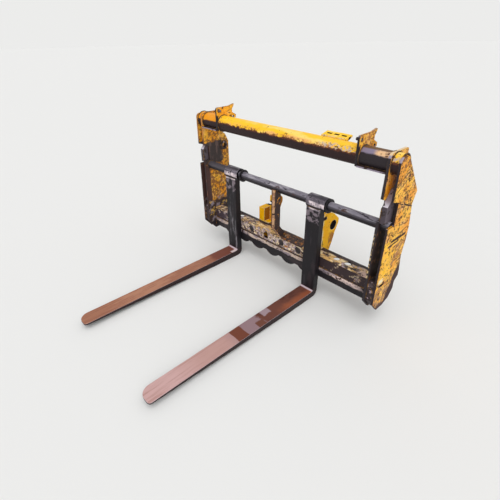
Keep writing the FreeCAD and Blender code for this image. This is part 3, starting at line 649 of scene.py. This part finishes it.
def shaft_steel():
    """Lilac-grey painted highlight on top with streaks and dark flecks, painted shade underneath, and a
    weaker highlight at the far end.
    """
    steel = Finish("shaft_steel", "47434A", rough=0.42)
    # painted highlight: lighter lilac-grey on top, streaked, with dark flecks
    lit = steel.facing("Z", 0.3, 0.6, wavy=0.25)
    steel.coat("817C87", lit, rough=0.36)
    steel.patchy("A49FA8", 0.02, 0.52, 0.6, where=lit, rough=0.32, detail=6, stretch=(5, 1, 1))
    steel.patchy("3A363D", 0.014, 0.56, 0.62, where=lit, rough=0.45, detail=6, stretch=(4, 1, 1))
    # painted shade: near black underneath
    steel.coat("242025", steel.facing("Z", 0.2, -0.05, wavy=0.25), rough=0.5)
    # a weaker painted highlight on top at the far end
    far = steel.both(steel.beyond("X", -0.4, -0.5), steel.facing("Z", 0.0, 0.3))
    steel.coat("4E494F", far, rough=0.45)
    steel.patchy("4A3430", 0.05, 0.6, 0.68, rough=0.6, detail=7, stretch=(2, 1, 1))
    return steel.done(depth=0.0005)


def keeper_steel():
    """A painted highlight of pale lilac on the slanted top, less pale higher up, and dark on the front."""
    steel = Finish("keeper_steel", "5A5058", rough=0.45)
    # painted highlight: pale lilac on the slanted top
    top = steel.both(steel.facing("Z", 0.2, 0.45), steel.facing("Y", 0.0, -0.2))
    steel.coat("D0CAD4", top, rough=0.36)
    steel.coat("8F8490", top, steel.beyond("Z", 0.77, 0.8, wavy=0.02), rough=0.42)
    steel.coat("4C434A", steel.facing("Y", -0.9, -0.98), rough=0.5)
    steel.patchy("39302F", 0.03, 0.54, 0.62, rough=0.6, height=-0.3, detail=7)
    return steel.done()


def block_steel():
    """Dark steel of the foot spacers, bushes and pins, with a little paint left."""
    steel = Finish("block_steel", "35292A", rough=0.55)
    steel.patchy("574A4C", 0.04, 0.48, 0.62, rough=0.5, detail=7)
    steel.patchy("9A7439", 0.025, 0.62, 0.66, rough=0.5, height=0.4, detail=9)
    steel.patchy("A18C92", 0.02, 0.6, 0.65, rough=0.42, detail=6)
    return steel.done()


def collar_steel():
    steel = Finish("collar_steel", "1A171B", rough=0.5)
    steel.patchy("2E2A2F", 0.03, 0.5, 0.64, rough=0.45, detail=6)
    return steel.done()


def near_blade(steel, blade, grain):
    """The near blade: rust brown by its heel, with a painted sheen where it is wet, a bare rusty band, then
    rubbed and pale to its tip, the paleness partly painted sheen.
    """
    steel.coat("6C4034", blade, rough=0.5)
    steel.patchy("56322A", 0.07, 0.46, 0.6, where=blade, rough=0.5, detail=6, stretch=(1, 2, 1))
    hot = steel.both(
        blade, steel.beyond("Y", 0.13, 0.26, wavy=0.12), steel.beyond("X", 0.285, 0.325, wavy=0.04))
    steel.coat("96553A", hot, rough=0.5)
    # painted sheen: lighter lilac where the blade is wet by its heel
    wet = steel.both(blade, steel.beyond("Y", 0.045, 0.02, wavy=0.1, size=0.08))
    steel.coat("93787D", wet, rough=0.3)
    pool = steel.both(
        blade, steel.within("Y", -0.02, 0.035, wavy=0.06), steel.beyond("X", 0.285, 0.3, wavy=0.04))
    steel.coat("6E4335", pool, rough=0.45)
    # painted sheen: a light lilac wet patch
    shard = steel.both(
        blade, steel.within("Y", *SHARD_Y, wavy=0.03),
        steel.within("X", *SHARD_X, wavy=0.04, size=0.04))
    steel.coat("A08A90", shard, rough=0.35)
    # paler towards the tip: polished steel, partly painted sheen
    steel.coat("BE968F", blade, steel.beyond("Y", -0.1, -0.26, wavy=0.1), rough=0.4)
    steel.coat("CBA5A2", blade, steel.beyond("Y", -0.36, -0.6, wavy=0.1), rough=0.36)
    steel.coat("B58C85", blade, grain, steel.beyond("Y", -0.16, -0.22), rough=0.42)
    band = steel.both(blade, steel.within("Y", -0.181, -0.104, wavy=0.02, size=0.06, soft=0.002))
    steel.coat("713E2D", band, rough=0.45)


def far_blade(steel, blade, grain):
    """The far blade: light brown, darker by its heel, with a wet glint at the heel's inner side."""
    steel.coat("A06B52", blade, rough=0.45)
    steel.patchy("B07C62", 0.09, 0.46, 0.6, where=blade, rough=0.42, detail=6, stretch=(1, 3, 1))
    steel.coat("8E5A46", blade, grain, rough=0.48)
    steel.coat("7A473A", blade, steel.beyond("Y", 0.22, 0.27, wavy=0.06), rough=0.5)
    glint = steel.both(
        steel.within("Y", 0.4, 0.45, wavy=0.03), steel.facing("Z", 0.3, 0.6),
        steel.beyond("X", -0.42, -0.41, wavy=0.02), steel.beyond("Z", 0.09, 0.08))
    steel.coat("DDC9C8", glint, rough=0.3)


def fork_steel(name, near):
    """Black streaked shank, a rubbed pale eye and a rust-brown blade, with painted shade on the blade's sides
    and on the eye's ends and underside, and a painted highlight on the heel fillet.
    """
    steel = Finish(name, "1B181C", rough=0.5)
    streaks = steel.patches(0.016, 0.56, 0.66, stretch=(1, 1, 14))
    steel.coat("39353B" if near else "8B868D", streaks, steel.facing(*SHANK_FRONT), rough=0.42)
    steel.patchy("2C2428", 0.06, 0.55, 0.68, rough=0.5, detail=6, stretch=(1, 1, 3))
    neck = steel.both(steel.within("Z", 0.53, 0.61, wavy=0.06), steel.facing(*SHANK_FRONT))
    steel.patchy("7C7078", 0.035, 0.47, 0.56, where=neck, rough=0.42, detail=7)
    blade = steel.both(steel.beyond("Z", 0.075, 0.05, wavy=0.02), steel.facing("Z", 0.2, 0.6))
    grain = steel.patches(0.01, 0.46, 0.66, stretch=(1, 22, 1))
    if near:
        near_blade(steel, blade, grain)
    else:
        far_blade(steel, blade, grain)
    # painted shade: dark on the blade's sides
    flank = steel.both(steel.beyond("Z", 0.07, 0.05), steel.facing("Z", 0.3, 0.1))
    steel.coat("2A1C1D", flank, rough=0.5)
    # painted highlight: pale on the fillet between shank and blade
    elbow_highlight = steel.both(
        steel.facing("Z", 0.25, 0.45), steel.facing("Z", 0.97, 0.85), steel.beyond("Z", 0.075, 0.06))
    steel.coat("C4B2BA", elbow_highlight, rough=0.3)
    eye = steel.beyond("Z", 0.608, 0.618, wavy=0.02)
    steel.coat("5B545D", eye, rough=0.4)
    steel.coat("3D3941", eye, steel.facing("Z", 0.75, 0.95, wavy=0.3), rough=0.4)
    steel.patchy("7D7680", 0.02, 0.5, 0.6, where=eye, rough=0.38, stretch=(4, 1, 1))
    pale = steel.both(
        eye, steel.facing("Y", -0.2, -0.5), steel.facing("Z", -0.4, -0.28),
        steel.facing("Z", 0.36, 0.22))
    if near:
        pale = steel.both(pale, steel.beyond("X", 0.255, 0.275, wavy=0.03, size=0.02))
    steel.patchy("A79BA3", 0.05, 0.36, 0.46, where=pale, rough=0.38, detail=6)
    steel.patchy("E6D7DB", 0.035, 0.46, 0.54, where=pale, rough=0.35, detail=6)
    steel.patchy("2B262B", 0.02, 0.58, 0.63, where=eye, rough=0.5, detail=6)
    # painted shade: dark on the eye's end faces
    sideways = steel.maths("ABSOLUTE", steel.axis(steel.normal, "X"))
    ends = steel.both(eye, steel.maths("GREATER_THAN", sideways, 0.6))
    steel.coat("18151A", ends, rough=0.5)
    # painted shade: dark under the eye
    under = steel.both(eye, steel.facing("Z", -0.25, -0.5))
    steel.coat("1E1A1E", under, rough=0.5)
    return steel.done()


def bead_steel():
    """Weld metal: dull grey-brown with bits of paint left on it."""
    steel = Finish("weld_bead", "4A3A2E", rough=0.55)
    steel.patchy("8A6128", 0.02, 0.5, 0.62, rough=0.5)
    steel.patchy(DARK_RUST, 0.015, 0.54, 0.62, rough=0.65)
    return steel.done(depth=0.0005)


def pale_bead_steel():
    """Weld metal under worn pale paint."""
    steel = Finish("painted_bead", "E9B94A", rough=0.5)
    steel.patchy(CREAM, 0.02, 0.46, 0.58, rough=0.5)
    steel.patchy(RUST, 0.02, 0.58, 0.64, rough=0.65)
    return steel.done(depth=0.0005)


finishes = {
    "near_plate": near_plate_paint(),
    "far_plate": far_plate_paint(),
    "inner_plate": inner_plate_paint(),
    "support": support_paint(),
    "tube": tube_paint(),
    "lemon": lemon_paint(),
    "lug": lug_paint(),
    "ear": ear_paint(),
    "strip": strip_paint(),
    "web": web_paint(),
    "rim": rim_paint(),
    "toe": toe_steel(),
    "shaft": shaft_steel(),
    "keeper": keeper_steel(),
    "block": block_steel(),
    "collar": collar_steel(),
    "left_fork": fork_steel("left_fork_steel", True),
    "right_fork": fork_steel("right_fork_steel", False),
    "bead": bead_steel(),
    "pale_bead": pale_bead_steel(),
}

# Each CAD node with its finish and the width of its worn edge in metres; a star is left, then right
DRESS = [
    ("left_outer_plate", "near_plate", 0.0014), ("right_outer_plate", "far_plate", 0.0014),
    ("left_inner_plate", "inner_plate", 0.0016), ("right_inner_plate", "far_plate", 0.0016),
    ("top_tube", "tube", 0.0010), ("fork_shaft", "shaft", 0.0012), ("*_ear", "ear", 0.0014),
    ("*_ear_strip", "strip", 0.0010), ("*_ear_pin", "block", 0.0012), ("slotted_bracket", "lemon", 0.0010),
    ("*_hitch_lug", "lug", 0.0025), ("middle_support", "support", 0.0020), ("toe_bar", "toe", 0.0018),
    ("web_plate", "web", 0.0012), ("rim_bar", "rim", 0.0014), ("bottom_shelf", "rim", 0.0014),
    ("*_shaft_keeper", "keeper", 0.0020), ("*_foot_spacer", "block", 0.0016),
    ("*_hitch_bush", "block", 0.0012), ("*_collar", "collar", 0.0012), ("*_fork", "*_fork", 0.0030),
]
SIDES = ("left", "right")
SAME_PLACE = 1e-6
FLAT_ANGLE = math.radians(0.3)
SHARP_ANGLE = math.radians(32)
EDGE_STEPS = 2
EDGE_PROFILE = 0.55
FACE_WEIGHT = 100
# Nicks in the edges: their spacing and depth, and the coarse and fine noise that places them
NICK_STEP = 0.022
NICK_DEPTH = 0.0011
NICK_COARSE, NICK_FINE, FINE_SHARE, NICK_START = 31.0, 90.0, 0.5, 0.1


def sharp_edges(mesh):
    return [edge for edge in mesh.edges if edge.is_manifold and edge.calc_face_angle() > SHARP_ANGLE]


def add_nicks(mesh):
    """Cut long sharp edges into steps and pull some of the new points a little inwards."""
    long_edges = [edge for edge in sharp_edges(mesh) if edge.calc_length() > 2 * NICK_STEP]
    before = set(mesh.verts)
    for edge in long_edges:
        bmesh.ops.subdivide_edges(mesh, edges=[edge], cuts=int(edge.calc_length() / NICK_STEP))
    mesh.normal_update()
    for point in mesh.verts:
        if point not in before:
            bite = noise.noise(point.co * NICK_COARSE) + FINE_SHARE * noise.noise(point.co * NICK_FINE)
            point.co -= point.normal * NICK_DEPTH * max(0.0, bite + NICK_START)


def add_piece(name, mesh, finish, body):
    """Smooth a mesh, give it a finish and let it ride on a body of the frame."""
    for face in mesh.faces:
        face.smooth = True
    data = bpy.data.meshes.new(name)
    mesh.to_mesh(data)
    mesh.free()
    data.materials.append(finishes[finish])
    piece = add_object(name, data)
    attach(piece, body)
    return piece


def dress(name, finish, width):
    """A copy of a CAD node with worn, rounded edges and its own finish."""
    mesh = bmesh.new()
    mesh.from_mesh(nodes[name].data)
    bmesh.ops.remove_doubles(mesh, verts=mesh.verts, dist=SAME_PLACE)
    bmesh.ops.dissolve_limit(mesh, angle_limit=FLAT_ANGLE, verts=mesh.verts, edges=mesh.edges)
    add_nicks(mesh)
    rim = mesh.faces.layers.float.new("rim")
    rounded = bmesh.ops.bevel(mesh, geom=sharp_edges(mesh), offset=width, segments=EDGE_STEPS,
                              profile=EDGE_PROFILE, affect="EDGES", clamp_overlap=True)
    for face in rounded["faces"]:
        face[rim] = 1.0
    piece = add_piece(name + "_worn", mesh, finish, body_of[name])
    normals = piece.modifiers.new("flat_faces", "WEIGHTED_NORMAL")
    normals.mode = "FACE_AREA"
    normals.weight = FACE_WEIGHT
    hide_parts(name)


for name, finish, width in DRESS:
    for side in SIDES if "*" in name else ("",):
        dress(name.replace("*", side), finish.replace("*", side), width)

# Weld beads: a rippled round bead laid along a path
BEAD_STEP = 0.0032
BEAD_SIDES = 8
BEAD_SIZE, BEAD_RIPPLE, BEAD_UNEVEN, BEAD_NOISE = 0.86, 0.10, 0.18, 60.0
BEAD_TIP = 0.45
RING_POINTS = 48
PIN_RING_POINTS = 24
ARC_STEPS = 24


def walk(points, closed):
    """Points an even step apart along straight runs between the given ones."""
    stops = [Vector(point) for point in points]
    if closed:
        stops.append(stops[0])
    track = []
    for start, finish in zip(stops, stops[1:]):
        steps = max(1, round((finish - start).length / BEAD_STEP))
        track += [start.lerp(finish, step / steps) for step in range(steps)]
    return track if closed else track + [stops[-1]]


def weld(name, points, radius, closed=False, body="frame", finish="bead"):
    """Lay a bead of this radius in metres along a path, thinner at its open ends."""
    track = walk(points, closed)
    mesh = bmesh.new()
    rings = []
    for index, spot in enumerate(track):
        ahead = track[(index + 1) % len(track)] if closed or index + 1 < len(track) else spot
        behind = track[index - 1] if closed or index else spot
        along = (ahead - behind).normalized()
        side = along.orthogonal().normalized()
        up = along.cross(side)
        size = radius * (BEAD_SIZE + BEAD_RIPPLE * (index % 2) + BEAD_UNEVEN * noise.noise(spot * BEAD_NOISE))
        if not closed and index in (0, len(track) - 1):
            size *= BEAD_TIP
        rings.append([mesh.verts.new(spot + (side * math.cos(turn) + up * math.sin(turn)) * size)
                      for turn in (2 * math.pi * step / BEAD_SIDES for step in range(BEAD_SIDES))])
    following = rings[1:] + rings[:1] if closed else rings[1:]
    for first, second in zip(rings, following):
        for step in range(BEAD_SIDES):
            after = (step + 1) % BEAD_SIDES
            mesh.faces.new((first[step], first[after], second[after], second[step]))
    if not closed:
        mesh.faces.new(rings[0][::-1])
        mesh.faces.new(rings[-1])
    bmesh.ops.recalc_face_normals(mesh, faces=mesh.faces)
    add_piece(name, mesh, finish, body)


def span(node):
    """The lowest and highest corner of a node, as two vectors."""
    low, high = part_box(node)
    return Vector(low), Vector(high)


def middle_line(node):
    """The Y and Z of the middle line of a round node along X, and its radius."""
    low, high = span(node)
    return (low.y + high.y) / 2, (low.z + high.z) / 2, (high.z - low.z) / 2


def around(node, x, lift, turns):
    """Points at this X around a round node, lifted off its surface."""
    y, z, radius = middle_line(node)
    return [(x, y + (radius + lift) * math.cos(turn), z + (radius + lift) * math.sin(turn)) for turn in turns]


def ring(node, x, lift, count=RING_POINTS):
    return around(node, x, lift, [2 * math.pi * step / count for step in range(count)])


toe_low, toe_high = span("toe_bar")
web_low, web_high = span("web_plate")
rim_low, rim_high = span("rim_bar")
shelf_low, shelf_high = span("bottom_shelf")

# Radii of the beads in metres
PIN_BEAD = 0.0024
STRIP_BEAD = 0.0032
THIN_BEAD = 0.0035
EYE_BEAD = 0.0038
MIDDLE_BEAD = 0.0040
THICK_BEAD = 0.0045
LUG_BEAD = 0.0050
BRACKET_BEAD = 0.0060
# How far beads lie off a surface or stop short of the end of their seam, in metres
TUBE_LIFT = 0.0015
TUBE_END_LIFT = 0.0010
SHAFT_LIFT = 0.0012
PIN_LIFT = 0.0008
OFF = 0.001
SHORT = 0.002
SHORTER = 0.004
SEAM_END = 0.003
KEEPER_SEAM = (0.010, 0.085)
SPACER_FOOT, SPACER_HEAD, SPACER_ROUNDING = 0.070, 0.012, 0.016
TOE_FOOT, TOE_HEAD, TOE_ROUNDING = 0.028, 0.014, 0.012
BRACKET_DROP = 0.0145


def weld_side(side):
    """The beads that hold one pair of side plates to the tube, shaft and blocks."""
    inner_low, inner_high = span(side + "_inner_plate")
    outer_low, outer_high = span(side + "_outer_plate")
    if side == "left":
        inside, between, outside = inner_low.x, inner_high.x, outer_low.x
    else:
        inside, between, outside = inner_high.x, inner_low.x, outer_high.x
    weld(side + "_tube_bead", ring("top_tube", inside, TUBE_LIFT), THICK_BEAD, closed=True)
    weld(side + "_tube_gap_bead", ring("top_tube", between, TUBE_LIFT), THICK_BEAD, closed=True)
    weld(side + "_tube_end_bead", ring("top_tube", outside, TUBE_END_LIFT), MIDDLE_BEAD, closed=True)
    weld(side + "_shaft_bead", ring("fork_shaft", inside, SHAFT_LIFT), THIN_BEAD, closed=True)
    keeper_low = span(side + "_shaft_keeper")[0]
    keeper_seam = [(between, keeper_low.y + OFF, keeper_low.z + rise) for rise in KEEPER_SEAM]
    weld(side + "_keeper_bead", keeper_seam, THIN_BEAD)
    spacer_low, spacer_high = span(side + "_foot_spacer")
    for label, x in (("in", between), ("out", outside)):
        weld("%s_spacer_%s_bead" % (side, label), [
            (x, spacer_low.y + OFF, spacer_low.z + SPACER_FOOT),
            (x, spacer_low.y + OFF, spacer_high.z - SPACER_HEAD)], MIDDLE_BEAD)
    weld(side + "_spacer_top_bead", [
        (between, spacer_low.y + SPACER_ROUNDING, spacer_high.z),
        (between, spacer_high.y, spacer_high.z)], THIN_BEAD)
    weld(side + "_toe_bead", [
        (inside, toe_low.y, toe_low.z + TOE_FOOT), (inside, toe_low.y, toe_high.z - TOE_HEAD),
        (inside, toe_low.y + TOE_ROUNDING, toe_high.z)], THICK_BEAD)
    weld(side + "_web_bead", [
        (inside, web_low.y, web_low.z + SHORTER), (inside, web_low.y, web_high.z - SHORT)], THIN_BEAD)
    weld(side + "_rim_bead", [
        (inside, rim_low.y + SHORT, rim_high.z), (inside, rim_high.y - SHORT, rim_high.z)], MIDDLE_BEAD)
    weld(side + "_shelf_bead", [
        (inside, shelf_low.y + SHORTER, shelf_high.z),
        (inside, shelf_high.y - SHORT, shelf_high.z)], MIDDLE_BEAD)
    weld(side + "_bush_bead", ring(side + "_hitch_bush", inside, OFF), THIN_BEAD, closed=True)


def weld_ear(side):
    ear_low, ear_high = span(side + "_ear")
    for label, x in (("low", ear_low.x), ("high", ear_high.x)):
        weld("%s_ear_%s_bead" % (side, label), ring("top_tube", x, TUBE_LIFT), THICK_BEAD, closed=True)
    strip_low, strip_high = span(side + "_ear_strip")
    weld(side + "_strip_bead", [
        (strip_low.x + SHORT, strip_high.y, strip_high.z),
        (strip_high.x - SHORT, strip_high.y, strip_high.z)], STRIP_BEAD)
    face = ear_low.x if side == "left" else ear_high.x
    weld(side + "_pin_bead", ring(side + "_ear_pin", face, PIN_LIFT, PIN_RING_POINTS), PIN_BEAD, closed=True)


def weld_lug(side):
    """The beads along a lug's foot and where it passes the rim bar."""
    lug_low, lug_high = span(side + "_hitch_lug")
    weld(side + "_lug_foot_bead", [
        (lug_low.x, shelf_high.y, lug_low.z), (lug_low.x, rim_high.y + OFF, lug_low.z),
        (lug_high.x, rim_high.y + OFF, lug_low.z), (lug_high.x, shelf_high.y, lug_low.z)], LUG_BEAD,
        finish="pale_bead")
    weld(side + "_lug_rim_bead", [
        (lug_low.x, rim_high.y, rim_high.z), (lug_low.x, lug_low.y, rim_high.z),
        (lug_high.x, lug_low.y, rim_high.z), (lug_high.x, rim_high.y, rim_high.z)], LUG_BEAD,
        finish="pale_bead")


for side in SIDES:
    weld_side(side)
    weld_ear(side)
    weld_lug(side)

# Seams along the whole width: name, Y, Z and radius
LONG_SEAMS = [
    ("web_foot_bead", web_low.y, web_low.z, MIDDLE_BEAD),
    ("web_rear_bead", web_high.y, web_low.z, MIDDLE_BEAD),
    ("rim_front_bead", web_low.y, rim_low.z, STRIP_BEAD),
    ("rim_rear_bead", web_high.y, rim_low.z, STRIP_BEAD),
    ("shelf_top_bead", toe_high.y, shelf_high.z, MIDDLE_BEAD),
    ("shelf_under_bead", toe_high.y, shelf_low.z, THIN_BEAD),
]
for name, y, z, radius in LONG_SEAMS:
    weld(name, [(toe_low.x + SEAM_END, y, z), (toe_high.x - SEAM_END, y, z)], radius)

support_low, support_high = span("middle_support")
weld("support_foot_bead", [
    (support_low.x, rim_low.y + SHORTER, rim_high.z), (support_high.x, rim_low.y + SHORTER, rim_high.z),
    (support_high.x, support_high.y, rim_high.z), (support_low.x, support_high.y, rim_high.z)], THICK_BEAD,
    closed=True)
under_half = [math.pi + math.pi * step / ARC_STEPS for step in range(ARC_STEPS + 1)]
for label, x in (("low", support_low.x), ("high", support_high.x)):
    weld("support_%s_bead" % label, around("fork_shaft", x, OFF, under_half), THIN_BEAD)

bracket_low, bracket_high = span("slotted_bracket")
weld("bracket_front_bead", [
    (bracket_low.x + SHORTER, bracket_low.y - OFF, bracket_high.z - BRACKET_DROP),
    (bracket_high.x - SHORTER, bracket_low.y - OFF, bracket_high.z - BRACKET_DROP)], BRACKET_BEAD,
    finish="pale_bead")

# A fork's width over its shank, and its seams' places behind the shaft's middle line
SHANK_WIDTH = 0.100
EYE_SEAMS = (("front", -0.030), ("rear", 0.015))


def weld_fork(side):
    """The two seams between a fork's shank and its eye."""
    fork_low, fork_high = span(side + "_fork")
    shaft_y, shaft_z = middle_line("fork_shaft")[:2]
    eye_radius = fork_high.z - shaft_z
    for label, back in EYE_SEAMS:
        y = shaft_y + back
        z = shaft_z - math.sqrt(eye_radius ** 2 - (y - shaft_y) ** 2)
        weld("%s_eye_%s_bead" % (side, label), [
            (fork_low.x + SEAM_END, y, z), (fork_low.x + SHANK_WIDTH - SEAM_END, y, z)], EYE_BEAD,
            body=side + "_fork")


for side in SIDES:
    weld_fork(side)

# Floor, backdrop and light
FLOOR_COLOUR = (0.82, 0.82, 0.81, 1)
FLOOR_RADIUS = 60.0
FLOOR_SIDES = 96
FLOOR_ROUGHNESS = 0.9
FLOOR_SHINE = 0.1
BACKDROP = (0.84, 0.84, 0.83, 1)
SKY_STRENGTH = 0.60
# Each sun with the direction it stands in, its spread in degrees and its strength
SUNS = [
    ("soft_sky", (0.5, -0.45, 1.6), 55, 1.15),
    ("side_sky", (1.0, -0.70, 0.50), 60, 0.80),
]


def add_floor():
    data = bpy.data.meshes.new("floor")
    mesh = bmesh.new()
    bmesh.ops.create_circle(mesh, cap_ends=True, radius=FLOOR_RADIUS, segments=FLOOR_SIDES)
    mesh.to_mesh(data)
    mesh.free()
    material = bpy.data.materials.new("floor_paint")
    material.use_nodes = True
    shader = material.node_tree.nodes["Principled BSDF"]
    shader.inputs["Base Color"].default_value = FLOOR_COLOUR
    shader.inputs["Roughness"].default_value = FLOOR_ROUGHNESS
    shader.inputs["Specular IOR Level"].default_value = FLOOR_SHINE
    data.materials.append(material)
    add_object("floor", data)


def add_sun(name, direction, spread, strength):
    lamp = bpy.data.lights.new(name, "SUN")
    lamp.energy = strength
    lamp.angle = math.radians(spread)
    add_object(name, lamp).rotation_euler = Vector(direction).to_track_quat("Z", "Y").to_euler()


def add_world():
    """Even light from all around, and the pale backdrop for the camera and for reflections."""
    world = bpy.data.worlds.new("world")
    world.use_nodes = True
    tree = world.node_tree
    light = tree.nodes["Background"]
    light.inputs["Color"].default_value = (1, 1, 1, 1)
    light.inputs["Strength"].default_value = SKY_STRENGTH
    seen = tree.nodes.new("ShaderNodeBackground")
    seen.inputs["Color"].default_value = BACKDROP
    seen.inputs["Strength"].default_value = 1.0
    rays = tree.nodes.new("ShaderNodeLightPath").outputs
    direct = rays["Is Camera Ray"]
    for other in ("Is Glossy Ray", "Is Transmission Ray"):
        either = tree.nodes.new("ShaderNodeMath")
        either.operation = "MAXIMUM"
        tree.links.new(direct, either.inputs[0])
        tree.links.new(rays[other], either.inputs[1])
        direct = either.outputs[0]
    choice = tree.nodes.new("ShaderNodeMixShader")
    tree.links.new(direct, choice.inputs[0])
    tree.links.new(light.outputs[0], choice.inputs[1])
    tree.links.new(seen.outputs[0], choice.inputs[2])
    tree.links.new(choice.outputs[0], tree.nodes["World Output"].inputs["Surface"])
    bpy.context.scene.world = world


add_floor()
for name, direction, spread, strength in SUNS:
    add_sun(name, direction, spread, strength)
add_world()
bpy.context.scene.view_settings.view_transform = "Standard"
